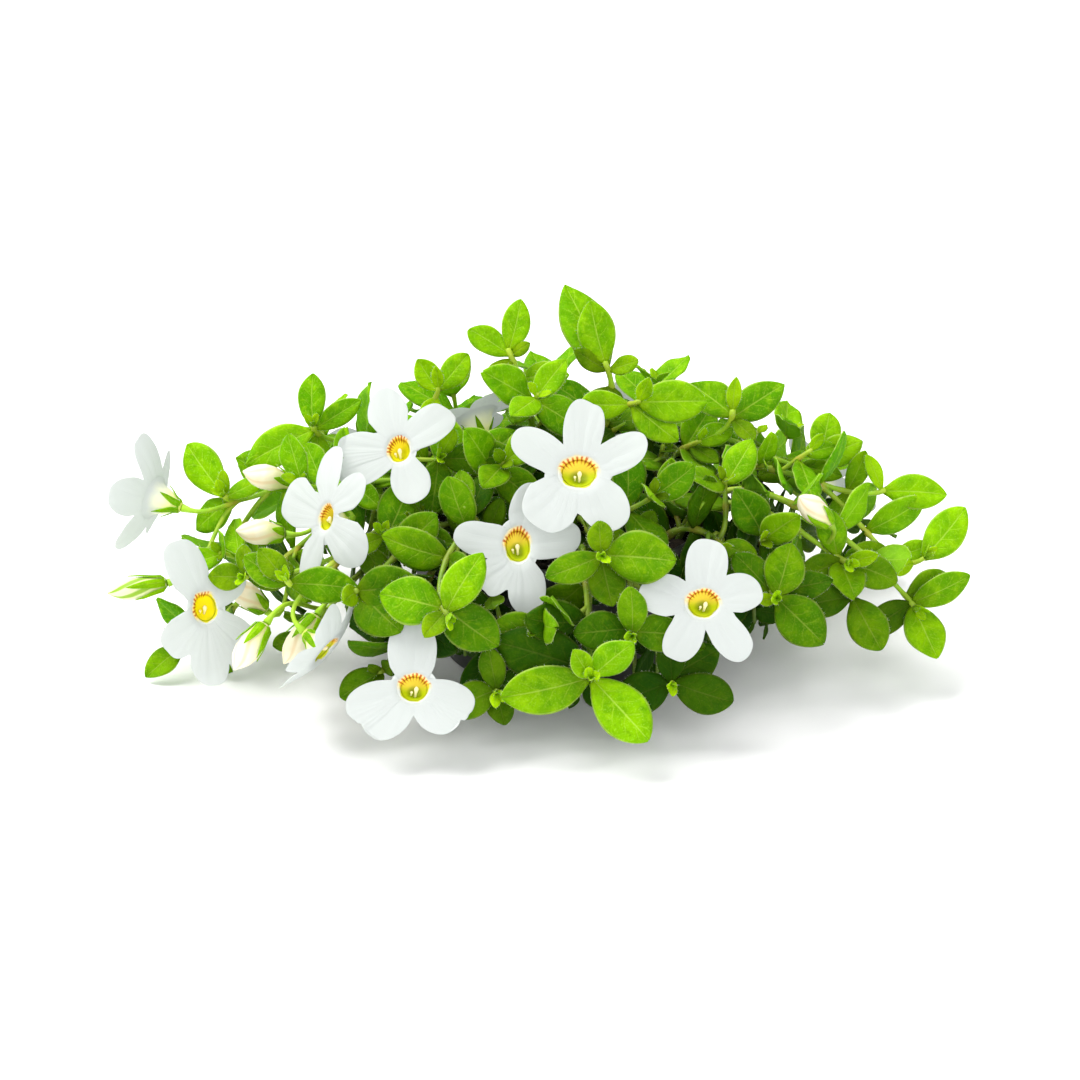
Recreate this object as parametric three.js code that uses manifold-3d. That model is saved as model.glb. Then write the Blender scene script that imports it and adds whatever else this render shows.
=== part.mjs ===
// Potted water hyssop: a low, spreading plant with small round leaves, white five-lobed flowers and cream
// buds in a plain round pot. Millimetres, +Z up. The origin is the middle of the pot's flat base, and the
// front of the plant looks along -Y.
import * as THREE from "three";
import { mergeVertices } from "three/addons/utils/BufferGeometryUtils.js";
import Module from "manifold-3d";

const wasm = await Module();
wasm.setup();

// Pot and soil
const POT_HEIGHT = 27;
const RIM_RADIUS = 30;
const RIM_BAND = 4;
const RIM_STEP = 1.6;
const BASE_RADIUS = 21.5;
const WALL = 1.8;
const SOIL_TOP = 24.5;
const SOIL_GAP = 0.3;
const HOLE_SIDES = 5;
const ROOT_DEPTH = 6;
const POT_SIDES = 24;
const DRAIN_HOLES = 4;
const DRAIN_RADIUS = 2;
const DRAIN_CIRCLE = 13;

// Stems and leaves
const STEM_RADIUS = 0.75;
const SIDE_RADIUS = 0.6;
const STALK_RADIUS = 0.5;
const STEM_SIDES = 4;
const SIDE_SIDES = 3;
const STEM_STEPS = 6;
const SIDE_STEPS = 3;
const ROOT_BIAS = 1.2;
const KNEE_OUT = 1.25;
const KNEE_LIFT = 15;
const STEM_PULL = 0.3;
const SIDE_PULL = 0.35;
const STALK_PULL = 0.4;
const LEAF_WIDTH = 0.62;
const LEAF_THICK = 0.9;
const CLEARANCE = 0.45;
const FUSE_TOLERANCE = 0.12;

// Blooms and buds
const TUBE_LENGTH = 5;
const TUBE_RADIUS = 1.7;
const MOUTH_RADIUS = 3.3;
const LOBE_THICK = 0.9;
const LOBE_GAP = 0.15;
const WIDEST_GAP = 1.3;
const LOBE_RISE = 0.1;
const BORE_RADIUS = 1.1;
const BORE_DEPTH = 4;
const MOUTH_EDGE = 2.9;
const CLEFT_RADIUS = 3.5;
const CLEFT_DEPTH = 0.25;
const MOUTH_THICK = 0.7;
const CUP_RADIUS = 2.3;
const CUP_RIM = 0.3;
const CUP_FLOOR = 2.6;
const CUP_FOOT = 0.85;
const CUP_DEPTH = 3.5;
const STAMENS = [[-0.45, 0.3], [0.5, 0.5]];
const STAMEN_HEAD = 0.3;
const BUD_RADIUS = 2.3;
const BUD_SIDES = 6;
const BUD_FOOT = 0.8;

// The calyx: how far it reaches round the stalk's end, and for a bloom and a bud the radius of its floor, and
// the radius and height of the clefts between its sepals and of the sepals' points
const CALYX_RADIUS = 3.6;
const CALYX_BACK = 0.9;
const CALYX_DEPTH = 1.7;
const CALYX_GAP = 0.4;
const SEPALS = 5;
const SEPAL_THICK = 0.7;
const BLOOM_CALYX = { floor: 2.1, cleft: [2.5, 0.9], point: [3.5, 3.4] };
const BUD_CALYX = { floor: 1.3, cleft: [2.1, 1], point: [2.95, 4] };

// Outlines, from the base to the tip: how far along, and how wide there
const LEAF_OUTLINE = [[0, 0], [0.33, 0.84], [0.6, 1], [0.86, 0.66], [1, 0]];
const SMALL_OUTLINE = [[0, 0], [0.38, 0.95], [0.76, 0.84], [1, 0]];
const LOBE_OUTLINE = [[0, 0], [0.27, 0.5], [0.52, 0.86], [0.78, 1], [0.94, 0.6], [1, 0]];

// Leaf pairs of a shoot, counted from its tip: how far back, how large and how far spread (degrees)
const PAIR_OFFSETS = [0.4, 1.4, 6, 12.5];
const PAIR_SIZES = [0.3, 0.78, 1, 1];
const PAIR_SPREAD = [28, 50, 66, 74];
const FIRST_PAIR = 1;
const HEAD_PAIRS = 3;
const LIGHT_PULL = 1.6;
const FRONT_FACE = 0.3;
const FACE_KEPT = 0.75;
const FACE_DEPTH = 1;
const SEED = 20417;

// The front view: across it, up it and out of it, 25 degrees above the horizon
const ACROSS_VIEW = [1, 0, 0];
const UP_VIEW = [0, 0.423, 0.906];
const TO_VIEW = [0, -0.906, 0.423];

// Blooms: name, stem, where on the stem, middle of the face, direction it looks, radius to the lobe tips, how
// far they bend back over that radius, then the lobes: angle (degrees, anticlockwise from the bloom's own
// right, seen from its front), and half width and reach over the radius
const BLOOMS = [
    ["bloom_01", "stem_14", 0.8, [-28, -17, 45], [-0.1, -0.8, 0.58], 11.6, 0.05,
     [[43, 0.28, 1], [112, 0.31, 0.97], [180, 0.25, 0.9], [206, 0.3, 1], [295, 0.3, 0.88]]],
    ["bloom_02", "stem_08", 0.62, [3, -29, 46], [0.02, -0.82, 0.57], 13, 0.06,
     [[23, 0.24, 1], [83, 0.27, 1], [148, 0.25, 1.03], [228, 0.38, 0.95], [306, 0.32, 0.92]]],
    ["bloom_03", "stem_11", 0.62, [-7.4, -32, 33.7], [0.1, -0.82, 0.56], 11.2, 0.08,
     [[5, 0.28, 1], [72, 0.28, 1], [168, 0.27, 1], [229, 0.28, 0.92], [278, 0.31, 1.06]]],
    ["bloom_04", "stem_09", 0.6, [24, -43, 28], [0, -0.88, 0.47], 11.3, 0.05,
     [[18, 0.3, 0.91], [85, 0.32, 1], [166, 0.32, 0.99], [240, 0.28, 0.99], [309, 0.27, 1.06]]],
    ["bloom_05", "stem_15", 0.75, [-40.6, -23, 34.8], [-0.64, -0.68, 0.36], 11.6, 0.14,
     [[55, 0.24, 1], [106, 0.24, 1.08], [172, 0.38, 0.98], [262, 0.2, 1], [337, 0.36, 0.95]]],
    ["bloom_06", "stem_18", 0.72, [-62, -24, 18], [0.35, -0.86, 0.36], 13.2, 0.1,
     [[40, 0.25, 0.72], [108, 0.27, 1], [220, 0.25, 0.8], [266, 0.28, 1.04], [303, 0.28, 0.98]]],
    ["bloom_07", "stem_12", 0.8, [-25, -47, 14], [0, -0.8, 0.6], 11.6, 0.04,
     [[94, 0.36, 1], [202, 0.31, 1.02], [226, 0.33, 0.96], [314, 0.32, 0.86], [338, 0.31, 0.92]]],
    ["bloom_08", "stem_16", 0.62, [-40, -41, 18], [0.74, -0.44, -0.5], 10.4, 0.42,
     [[40, 0.32, 1], [110, 0.34, 1], [180, 0.3, 0.9], [245, 0.34, 1], [310, 0.34, 1]]],
    ["bloom_09", "stem_19", 0.8, [-72, -2, 29], [-0.86, 0.42, 0.14], 11.4, -0.28,
     [[20, 0.32, 1], [92, 0.3, 1], [165, 0.32, 1], [235, 0.34, 1], [305, 0.32, 1]]],
    ["bloom_10", "stem_01", 0.55, [-15, 5, 42], [-0.35, 0.6, 0.7], 10, 0.08,
     [[20, 0.3, 1], [90, 0.3, 1], [160, 0.3, 1], [230, 0.3, 1], [310, 0.33, 1]]],
    ["bloom_11", "stem_22", 0.72, [-36, 40, 20], [-0.35, 0.85, 0.35], 11.4, 0.06,
     [[32, 0.28, 1], [102, 0.3, 1], [172, 0.28, 0.97], [242, 0.33, 1], [322, 0.34, 0.96]]],
    ["bloom_12", "stem_24", 0.72, [16, 46, 22], [0.2, 0.9, 0.3], 11.6, 0.08,
     [[0, 0.27, 1], [70, 0.29, 1], [140, 0.29, 1], [210, 0.34, 0.95], [290, 0.33, 0.96]]],
    ["bloom_13", "stem_25", 0.7, [50, 32, 17], [0.6, 0.75, 0.3], 11.2, 0.05,
     [[50, 0.3, 0.97], [120, 0.28, 1], [190, 0.28, 1], [260, 0.32, 1], [340, 0.35, 0.95]]],
];

// Buds: name, stem, where on the stem, middle of the bud, direction it points and length
const BUDS = [
    ["bud_01", "stem_15", 0.60, [-53, -12, 27], [-0.92, -0.20, 0.18], 8.6],
    ["bud_02", "stem_18", 0.55, [-55.4, -14.5, 15.8], [-0.6, -0.1, 0.6], 8.6],
    ["bud_03", "stem_17", 0.80, [-53.6, -35.3, 16], [-0.55, -0.50, -0.65], 9.5],
    ["bud_04", "stem_17", 0.62, [-45.2, -30.4, 15], [-0.55, -0.40, -0.70], 10.0],
    ["bud_05", "stem_19", 0.86, [-75, -14, 17], [-0.97, -0.15, -0.12], 10.4],
    ["bud_06", "stem_05", 0.80, [44, -20, 35], [-0.60, -0.35, 0.72], 9.0],
    ["bud_07", "stem_15", 0.80, [-52, -4, 34], [-0.9, -0.1, 0.3], 9.0],
];

// Main stems: name, root on the soil and rise, then the shoot at the end: tip, heading, leaf pairs, leaf
// length, twist and openness; then the side shoots: where each leaves the stem, and its shoot
const STEMS = [
    ["stem_01", [-4, 5], 18, [[-9.3, 4, 55.4], [-0.35, -0.10, 0.90], 6, 10.5, 0, 0.9],
     [[0.62, [-4, -6, 51], [0.1, -0.4, 0.85], 4, 11.0, 30, 1.0]]],
    ["stem_02", [5, 5], 18, [[7.9, 4, 52.9], [-0.35, -0.10, 0.90], 6, 12.0, 90, 0.9],
     [[0.6, [14, -2, 48], [0.5, -0.4, 0.6], 4, 12.0, 20, 1.0]]],
    ["stem_03", [13, 3], 18, [[30.6, 0, 45.3], [0.0, -0.15, 1.0], 6, 12.0, 0, 1.0],
     [[0.66, [47, 4, 34.9], [0.45, 0.0, 0.9], 4, 11.0, 0, 0.7]]],
    ["stem_04", [22, 1], 18, [[58, -2, 30.7], [0.75, -0.10, 0.45], 6, 12.0, 0, 1.0],
     [[0.66, [64.6, -10, 21], [0.65, -0.25, 0.7], 4, 12.0, 90, 0.9]]],
    ["stem_05", [20, -7], 20, [[50, -20, 25], [0.25, -0.85, 0.35], 6, 12.0, -15, 1.0],
     [[0.5, [35, -26, 32], [0.2, -0.75, 0.5], 3, 12.0, 60, 1.0]]],
    ["stem_06", [19.5, -10.5], 22, [[62.3, -18, 15.5], [0.35, -0.80, 0.30], 7, 12.0, 20, 1.0],
     [[0.6, [51, -24, 20], [0.2, -0.8, 0.3], 2, 12.0, 60, 1.0]]],
    ["stem_07", [15.5, -15], 20, [[37.2, -32, 23.8], [0.15, -0.85, 0.35], 7, 12.0, 95, 1.0],
     [[0.5, [28.6, -18, 40], [0.1, -0.6, 0.75], 4, 12.0, 40, 1.0]]],
    ["stem_08", [2, -12], 18, [[6.9, -39, 35.2], [0.1, -0.80, 0.45], 5, 12.0, -5, 1.0],
     [[0.5, [16, -27, 41], [0.4, -0.6, 0.7], 4, 12.0, 50, 1.0]]],
    ["stem_09", [10, -19.5], 22, [[12, -45, 23], [0.05, -0.85, 0.4], 6, 12.0, -30, 1.0],
     [[0.55, [19, -43, 13], [0.15, -0.85, 0.1], 4, 12.0, 70, 1.0]]],
    ["stem_10", [3, -21.5], 26, [[5, -49, 17], [0.0, -0.85, 0.50], 7, 14.0, -42, 1.0],
     [[0.6, [-4, -43, 24], [-0.4, -0.8, 0.3], 3, 13.0, 80, 1.0]]],
    ["stem_11", [-6, -20], 22, [[-19.2, -44, 26.5], [0.0, -0.85, 0.5], 6, 12.0, 65, 1.0],
     [[0.55, [-11, -46, 13], [0.0, -0.85, 0.1], 4, 12.0, 30, 1.0]]],
    ["stem_12", [-13.5, -17], 24, [[-31, -41, 14], [-0.3, -0.8, 0.3], 7, 12.0, 60, 1.0],
     [[0.5, [-24, -38, 25], [-0.1, -0.85, 0.3], 3, 12.0, 10, 1.0]]],
    ["stem_13", [-12, -10], 18, [[-35, -38, 28], [-0.2, -0.85, 0.35], 6, 12.0, 10, 1.0],
     [[0.5, [-30.7, -24, 32], [-0.1, -0.5, 0.85], 2, 12.0, 80, 1.0]]],
    ["stem_14", [-9, -3], 14, [[-21, -15, 42.8], [0.3, -0.75, 0.5], 5, 12.0, 10, 1.0],
     [[0.5, [-10, -20, 44], [0.0, -0.7, 0.7], 4, 12.0, 40, 1.0]]],
    ["stem_15", [-16, -4], 20, [[-46, -12, 37], [-0.4, -0.5, 0.75], 6, 11.5, 10, 1.0], []],
    ["stem_16", [-19, -8], 12, [[-46.9, -35, 28.5], [-0.1, -0.6, 0.75], 7, 12.0, 0, 1.0],
     [[0.55, [-55, -24, 24], [-0.4, -0.8, 0.1], 3, 11.0, 50, 1.0]]],
    ["stem_17", [-15.5, -14.5], 24, [[-46, -24, 12], [-0.6, -0.6, 0.0], 4, 8.5, 60, 1.0], []],
    ["stem_18", [-21.5, -4.5], 24, [[-68, -16, 6], [-0.5, -0.7, 0.2], 7, 11.0, 30, 1.0],
     [[0.6, [-60, -14, 24], [-0.3, -0.8, 0.5], 3, 11.0, 60, 1.0]]],
    ["stem_19", [-22, 1], 18, [[-59.9, -3, 30], [-0.2, -0.6, 0.8], 6, 12.0, 130, 1.0],
     [[0.7, [-64, -5, 18], [-0.7, -0.5, 0.2], 3, 10.0, 40, 1.0]]],
    ["stem_20", [-15, 7], 16, [[-44.3, 6, 39.6], [-0.1, -0.50, 0.85], 6, 12.0, 10, 1.0],
     [[0.45, [-22, 14, 43.7], [0.0, -0.3, 0.95], 3, 11.0, 50, 1.0]]],
    ["stem_21", [-17.5, 12.5], 22, [[-54, 26, 18], [-0.6, 0.5, 0.3], 7, 12.0, 20, 1.0],
     [[0.55, [-44, 20, 33], [-0.4, 0.4, 0.7], 4, 12.0, 60, 1.0]]],
    ["stem_22", [-11, 18], 24, [[-24, 46, 12], [-0.3, 0.8, 0.2], 7, 12.5, 65, 1.0],
     [[0.5, [-20, 28, 38], [-0.3, 0.5, 0.7], 4, 12.0, 15, 1.0]]],
    ["stem_23", [1, 19], 24, [[0, 50, 10], [0.05, 0.85, 0.2], 7, 12.5, 30, 1.0],
     [[0.5, [-2, 30, 40], [-0.1, 0.5, 0.8], 4, 12.0, 75, 1.0]]],
    ["stem_24", [12, 17], 24, [[30, 43, 12], [0.35, 0.8, 0.2], 7, 12.5, 10, 1.0],
     [[0.5, [18, 26, 40], [0.3, 0.4, 0.8], 4, 12.0, 45, 1.0]]],
    ["stem_25", [19, 11], 22, [[56, 28, 12], [0.6, 0.6, 0.2], 7, 12.5, 50, 1.0],
     [[0.55, [42, 20, 33], [0.4, 0.3, 0.8], 4, 12.0, 0, 1.0]]],
];

// The hand-set leaves at the ends of the outer shoots, as they show from the front: how far behind the tip a
// leaf sits, the way it points (degrees from +X towards up), its lean to the front, its length, and its width
// over its length
const HEADS = {
    stem_01: [
        [0.4, 72, 5, 9.4, 0.55], [1.2, 146, 10, 8.8, 0.6], [2, 223, 25, 6, 0.6],
        [1.2, 28, 20, 4.2, 0.6], [6, 190, 20, 8, 0.6], [6, 10, 20, 9, 0.6],
    ],
    stem_02: [
        [1.2, 118, -8, 17, 0.52], [0.4, 109, 14, 11.5, 0.6], [1.8, 153, 20, 7.4, 0.5],
        [1.8, 15, 30, 6, 0.6], [5, 230, 15, 8, 0.6], [5, 275, 20, 6.5, 0.6],
    ],
    stem_02_side_1: [
        [0.8, 2, -5, 12.5, 0.62], [2.5, -42, 10, 10.5, 0.6], [0.3, 60, 30, 5, 0.6],
        [3, 185, 20, 9, 0.6],
    ],
    stem_03: [
        [1.2, 135, 5, 9.5, 0.74], [0.3, 90, 12, 6.2, 0.45], [1.8, 35, -5, 11.5, 0.56],
        [1.8, -40, 25, 6, 0.6],
    ],
    stem_03_side_1: [
        [0.5, 78, -5, 8.2, 0.7], [1.6, 28, 10, 9, 0.66], [5, 190, 15, 8, 0.6],
        [5, -10, 20, 8, 0.5],
    ],
    stem_04: [
        [0.6, 2, 5, 11.5, 0.56], [0.6, 111, 20, 7.6, 0.4], [7, 250, 15, 8, 0.55],
        [7, 60, 15, 8, 0.5],
    ],
    stem_04_side_1: [
        [0.3, 46, 0, 12, 0.58], [2, 200, 30, 5, 0.6], [6, 175, 20, 9.5, 0.6], [6, 20, 10, 7, 0.6],
    ],
    stem_05: [
        [0.3, 10, 25, 6, 0.5], [1.2, -18, 15, 10, 0.62], [1.6, 200, 15, 9.5, 0.62],
        [3, -66, 10, 10.5, 0.7], [3, 100, 10, 9, 0.6],
    ],
    stem_06: [
        [0.8, 22, 5, 11.4, 0.48], [0.8, 211, 8, 10.6, 0.52], [0.4, -68, 15, 10.6, 0.7],
        [2.2, 30, -15, 9.5, 0.6],
    ],
    stem_07: [
        [0.6, 72, 5, 9.8, 0.74], [0.8, -43, 15, 11.5, 0.72], [2.6, 12, 5, 11, 0.5],
        [2.4, 128, 10, 9.5, 0.6], [0.2, 190, 30, 4, 0.6],
    ],
    stem_08: [
        [0.6, 206, 15, 10.4, 0.54], [0.8, 0, 10, 12.8, 0.72], [0.3, 98, 20, 6, 0.75],
        [3, -75, 15, 9.5, 0.7],
    ],
    stem_09: [
        [0.5, 87, 10, 9.6, 0.54], [2, 0, 5, 9.5, 0.7], [3, 185, 5, 10, 0.7],
    ],
    stem_06_side_1: [
        [0.4, -62, 10, 10.5, 0.68], [0.6, 185, 10, 9, 0.65],
    ],
    stem_09_side_1: [
        [0.6, -22, 10, 11, 0.66], [0.6, 200, 5, 10.5, 0.7], [0.3, 95, 15, 9, 0.6],
        [2, 30, 0, 10, 0.7],
    ],
    stem_11_side_1: [
        [0.6, 200, 10, 9, 0.7], [0.6, 20, 10, 9, 0.66], [0.3, 100, 20, 8, 0.6],
        [2, -80, 10, 7, 0.7],
    ],
    stem_10: [
        [0.8, -46, 12, 14.6, 0.6], [0.8, 197, 5, 15.5, 0.54], [0.4, 46, 20, 9.8, 0.62],
        [0.2, 123, 30, 6.5, 0.62], [2.6, 158, 0, 17.5, 0.56],
    ],
    stem_11: [
        [0.8, 62, 10, 12, 0.56], [1, 230, 25, 6, 0.7], [2, 165, 5, 11, 0.78],
        [3, -40, -5, 12, 0.7],
    ],
    stem_13: [
        [0.5, 4, 10, 11.5, 0.72], [1.6, -62, 12, 11.5, 0.8], [1.6, 215, 15, 8, 0.7],
    ],
    stem_13_side_1: [
        [1, 76, 0, 12, 0.68], [0.5, 200, 20, 6, 0.6],
    ],
    stem_14: [
        [0.6, -4, 15, 13, 0.52], [0.2, 60, 25, 6, 0.5], [3, -95, 10, 10, 0.7],
    ],
    stem_16: [
        [0.4, 128, 12, 7.6, 0.62], [1, 0, 10, 12, 0.54], [1, 152, 5, 9, 0.6],
    ],
    stem_16_side_1: [
        [0.6, 178, -38, 9.5, 0.75], [0.8, 5, 10, 8.5, 0.7], [0.3, 90, 20, 6, 0.6],
    ],
    stem_19: [
        [0.8, 128, 5, 12.2, 0.58], [0.8, 28, 15, 8.2, 0.45], [2.5, 215, 15, 8.5, 0.7],
        [0.2, 80, 25, 5, 0.5],
    ],
    stem_20: [
        [0.5, 95, 5, 9.8, 0.56], [1, 203, 10, 14, 0.52], [1, 33, 0, 10, 0.45],
        [2.5, -95, 15, 8.5, 0.7],
    ],
    stem_20_side_1: [
        [0.6, 49, 5, 8.6, 0.6], [0.6, 125, 5, 6.8, 0.7], [0.2, 90, 25, 4.5, 0.5],
        [1.8, 250, 10, 5.5, 0.7],
    ],
};

// Ways in which a leaf or a stem is bent when it would cross a neighbour
const LEAF_BENDS = [
    [0, 0, 1], [14, 0, 1], [-16, 0, 1], [0, 20, 1], [0, -20, 1], [28, 12, 0.92], [-28, -12, 0.92],
    [8, 38, 0.85], [8, -38, 0.85], [16, 0, 0.7], [-16, 0, 0.7], [0, 25, 0.6], [0, -25, 0.6],
];
const HEAD_BENDS = [
    [0, 0, 1], [12, 0, 1], [-12, 0, 1], [0, 10, 1], [0, -10, 1], [22, 0, 1], [-22, 0, 1],
    [12, 14, 0.95], [-12, -14, 0.95], [34, 0, 0.9], [-34, 0, 0.9], [0, 20, 0.85], [0, -20, 0.85],
    [20, 0, 0.7], [-20, 0, 0.7], [45, 0, 0.7], [-45, 0, 0.7],
];
const PATH_BENDS = [
    [0, 0], [0, 3], [3, 0], [-3, 0], [0, -3], [4, 4], [-4, 4], [6, 0], [-6, 0], [0, 7], [7, 5],
    [-7, 5], [10, 0], [-10, 0], [0, 11], [12, 7], [-12, 7],
];

// Materials
const POT_PLASTIC = new THREE.MeshStandardMaterial({ color: 0x1c1c1e, roughness: 0.6, metalness: 0 });
const SOIL = new THREE.MeshStandardMaterial({ color: 0x2b1c12, roughness: 1, metalness: 0 });
const FOLIAGE = new THREE.MeshStandardMaterial({ color: 0x6fae18, roughness: 0.5, metalness: 0 });
const PETAL = new THREE.MeshStandardMaterial({ color: 0xf6f7f8, roughness: 0.6, metalness: 0 });
const THROAT = new THREE.MeshStandardMaterial({ color: 0xc9c21e, roughness: 0.6, metalness: 0 });
const BUD = new THREE.MeshStandardMaterial({ color: 0xeee9c8, roughness: 0.6, metalness: 0 });

// Vectors are [x, y, z]
const add = (a, b) => [a[0] + b[0], a[1] + b[1], a[2] + b[2]];
const sub = (a, b) => [a[0] - b[0], a[1] - b[1], a[2] - b[2]];
const mul = (a, k) => [a[0] * k, a[1] * k, a[2] * k];
const dot = (a, b) => a[0] * b[0] + a[1] * b[1] + a[2] * b[2];
const cross = (a, b) => [a[1] * b[2] - a[2] * b[1], a[2] * b[0] - a[0] * b[2], a[0] * b[1] - a[1] * b[0]];
const length = (a) => Math.sqrt(dot(a, a));
const unit = (a) => mul(a, 1 / length(a));
const rad = (degrees) => degrees * Math.PI / 180;
const mix = (a, b, t) => add(mul(a, 1 - t), mul(b, t));
const vector = (a) => new THREE.Vector3(...a);

// Seeded random numbers, the same in every run
class Draw {
    constructor(seed) {
        this.state = seed;
    }

    next() {
        this.state = (this.state * 48271) % 2147483647;
        return this.state / 2147483647;
    }

    between(low, high) {
        return low + (high - low) * this.next();
    }
}

// Curved paths
function bezier([a, b, c, d], t) {
    const s = 1 - t;
    const early = add(mul(a, s * s * s), mul(b, 3 * s * s * t));
    return add(early, add(mul(c, 3 * s * t * t), mul(d, t * t * t)));
}

function bezierTangent([a, b, c, d], t) {
    const s = 1 - t;
    const slope = (i) => 3 * s * s * (b[i] - a[i]) + 6 * s * t * (c[i] - b[i]) + 3 * t * t * (d[i] - c[i]);
    return unit([slope(0), slope(1), slope(2)]);
}

function pathRun(curve, steps = 60) {
    const run = [0];
    for (let i = 1; i <= steps; i++) {
        run.push(run[i - 1] + length(sub(bezier(curve, (i - 1) / steps), bezier(curve, i / steps))));
    }
    return run;
}

function timeAt(run, want) {
    const steps = run.length - 1;
    let i = 0;
    while (i + 1 < steps && run[i + 1] <= want) {
        i += 1;
    }
    return (i + (want - run[i]) / (run[i + 1] - run[i])) / steps;
}

// Blades: leaves and petal lobes as bent, folded outlines
function halfWidth(outline, u) {
    if (u <= 0 || u >= 1) {
        return 0;
    }
    const i = outline.findIndex((station, k) => k > 0 && u <= station[0]);
    const [u0, w0] = outline[i - 1];
    const [u1, w1] = outline[i];
    return w0 + (w1 - w0) * (u - u0) / (u1 - u0);
}

function makeBlade(owner, base, alongIn, normalIn, size, width, droop, fold, outline) {
    const along = unit(alongIn);
    const normal = unit(sub(normalIn, mul(along, dot(normalIn, along))));
    const across = cross(normal, along);
    const blade = { owner, base, along, normal, across, size, width, droop, fold, outline };
    blade.centre = bladePoint(blade, 0.5, 0);
    blade.reach = size * 0.62;
    blade.net = bladeNet(blade);
    return blade;
}

function bladePoint(b, u, v) {
    const w = halfWidth(b.outline, u) * b.width / 2;
    const lift = -b.droop * b.size * u * u + b.fold * Math.abs(v) * w;
    return add(add(b.base, mul(b.along, b.size * u)), add(mul(b.across, v * w), mul(b.normal, lift)));
}

// A blade's corner points and the edges between them, as the test for crossings sees it
function bladeNet(b) {
    const us = b.outline.map((station) => station[0]);
    const n = us.length;
    const mid = us.map((u) => bladePoint(b, u, 0));
    const left = us.slice(1, -1).map((u) => bladePoint(b, u, 1));
    const right = us.slice(1, -1).map((u) => bladePoint(b, u, -1));
    const lines = [];
    for (let i = 0; i < n - 1; i++) {
        lines.push([mid[i], mid[i + 1]]);
    }
    for (const side of [left, right]) {
        lines.push([mid[0], side[0]], [side[side.length - 1], mid[n - 1]]);
        for (let i = 0; i < n - 3; i++) {
            lines.push([side[i], side[i + 1]]);
        }
        for (let i = 0; i < n - 2; i++) {
            lines.push([mid[i + 1], side[i]]);
        }
    }
    return { lines, mid: mid.slice(1), rim: [...left, ...right] };
}

// A point seen from blade b: along it, across it and above its face
function local(b, p) {
    const d = sub(p, b.base);
    const u = dot(d, b.along) / b.size;
    const v = dot(d, b.across);
    const h = dot(d, b.normal) - (-b.droop * b.size * u * u + b.fold * Math.abs(v));
    return [u, v, h];
}

function nearFace(b, [u, v, h], gap) {
    const inside = u > -0.02 && u < 1.04;
    return Math.abs(h) < gap && inside && Math.abs(v) < halfWidth(b.outline, u) * b.width / 2 + gap * 0.6;
}

// Whether the line p to q crosses blade b's face or ends within gap of it
function pierces(b, p, q, gap) {
    const one = local(b, p);
    const two = local(b, q);
    if (one[2] * two[2] < 0) {
        const t = one[2] / (one[2] - two[2]);
        const u = one[0] + (two[0] - one[0]) * t;
        const v = one[1] + (two[1] - one[1]) * t;
        if (u > -0.02 && u < 1.04 && Math.abs(v) < halfWidth(b.outline, u) * b.width / 2 + gap) {
            return true;
        }
    }
    return nearFace(b, one, gap) || nearFace(b, two, gap);
}

function bladesCross(a, b) {
    const reach = a.reach + b.reach + 1;
    const apart = sub(a.centre, b.centre);
    if (dot(apart, apart) > reach * reach) {
        return false;
    }
    const half = LEAF_THICK / 2;
    for (const [one, other] of [[a, b], [b, a]]) {
        if (one.net.lines.some(([p, q]) => pierces(other, p, q, half + CLEARANCE * 0.7))) {
            return true;
        }
        if (one.net.mid.some((p) => nearFace(other, local(other, p), 2 * half + CLEARANCE * 0.7))) {
            return true;
        }
    }
    return false;
}

// Rods: straight lengths of stem, stalk or flower tube
function rodsOf(owner, points, radius) {
    return points.slice(1).map((to, i) => ({ owner, from: points[i], to, radius }));
}

function pointRod(p, rod) {
    const d = sub(rod.to, rod.from);
    const t = Math.max(0, Math.min(1, dot(sub(p, rod.from), d) / dot(d, d)));
    return length(sub(p, add(rod.from, mul(d, t))));
}

function bladeHitsRod(b, rod) {
    const apart = sub(b.centre, mul(add(rod.from, rod.to), 0.5));
    const reach = b.reach + length(sub(rod.from, rod.to)) / 2 + rod.radius + 1;
    if (dot(apart, apart) > reach * reach) {
        return false;
    }
    if (pierces(b, rod.from, rod.to, rod.radius + CLEARANCE + 0.2)) {
        return true;
    }
    return [...b.net.mid, ...b.net.rim].some((m) => pointRod(m, rod) < rod.radius + CLEARANCE + 0.4);
}

function rodsTouch(a, b) {
    const gap = a.radius + b.radius + CLEARANCE;
    const apart = sub(mul(add(a.from, a.to), 0.5), mul(add(b.from, b.to), 0.5));
    const reach = gap + (length(sub(a.from, a.to)) + length(sub(b.from, b.to))) / 2;
    if (dot(apart, apart) > reach * reach) {
        return false;
    }
    return [0, 0.25, 0.5, 0.75, 1].some((t) => pointRod(mix(a.from, a.to, t), b) < gap);
}

function potRadius(z) {
    if (z > POT_HEIGHT - RIM_BAND - 0.5) {
        return RIM_RADIUS;
    }
    return BASE_RADIUS + (RIM_RADIUS - RIM_STEP - BASE_RADIUS) * z / (POT_HEIGHT - RIM_BAND);
}

// Whether a point lies in the pot, in its soil or on the floor
function inPot([x, y, z], gap) {
    const r = Math.hypot(x, y);
    if (z < 0.5 + gap * 0.3) {
        return true;
    }
    if (z > POT_HEIGHT + gap || r > potRadius(z) + gap) {
        return false;
    }
    return z < SOIL_TOP + gap || r > RIM_RADIUS - RIM_STEP - WALL - gap;
}

// Whether a point lies in the pot's wall or rim
function inWall([x, y, z], gap) {
    const r = Math.hypot(x, y);
    const outer = potRadius(z);
    if (z > POT_HEIGHT + gap || r > outer + gap) {
        return false;
    }
    return r > Math.min(outer, RIM_RADIUS - RIM_STEP) - WALL - gap;
}

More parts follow.
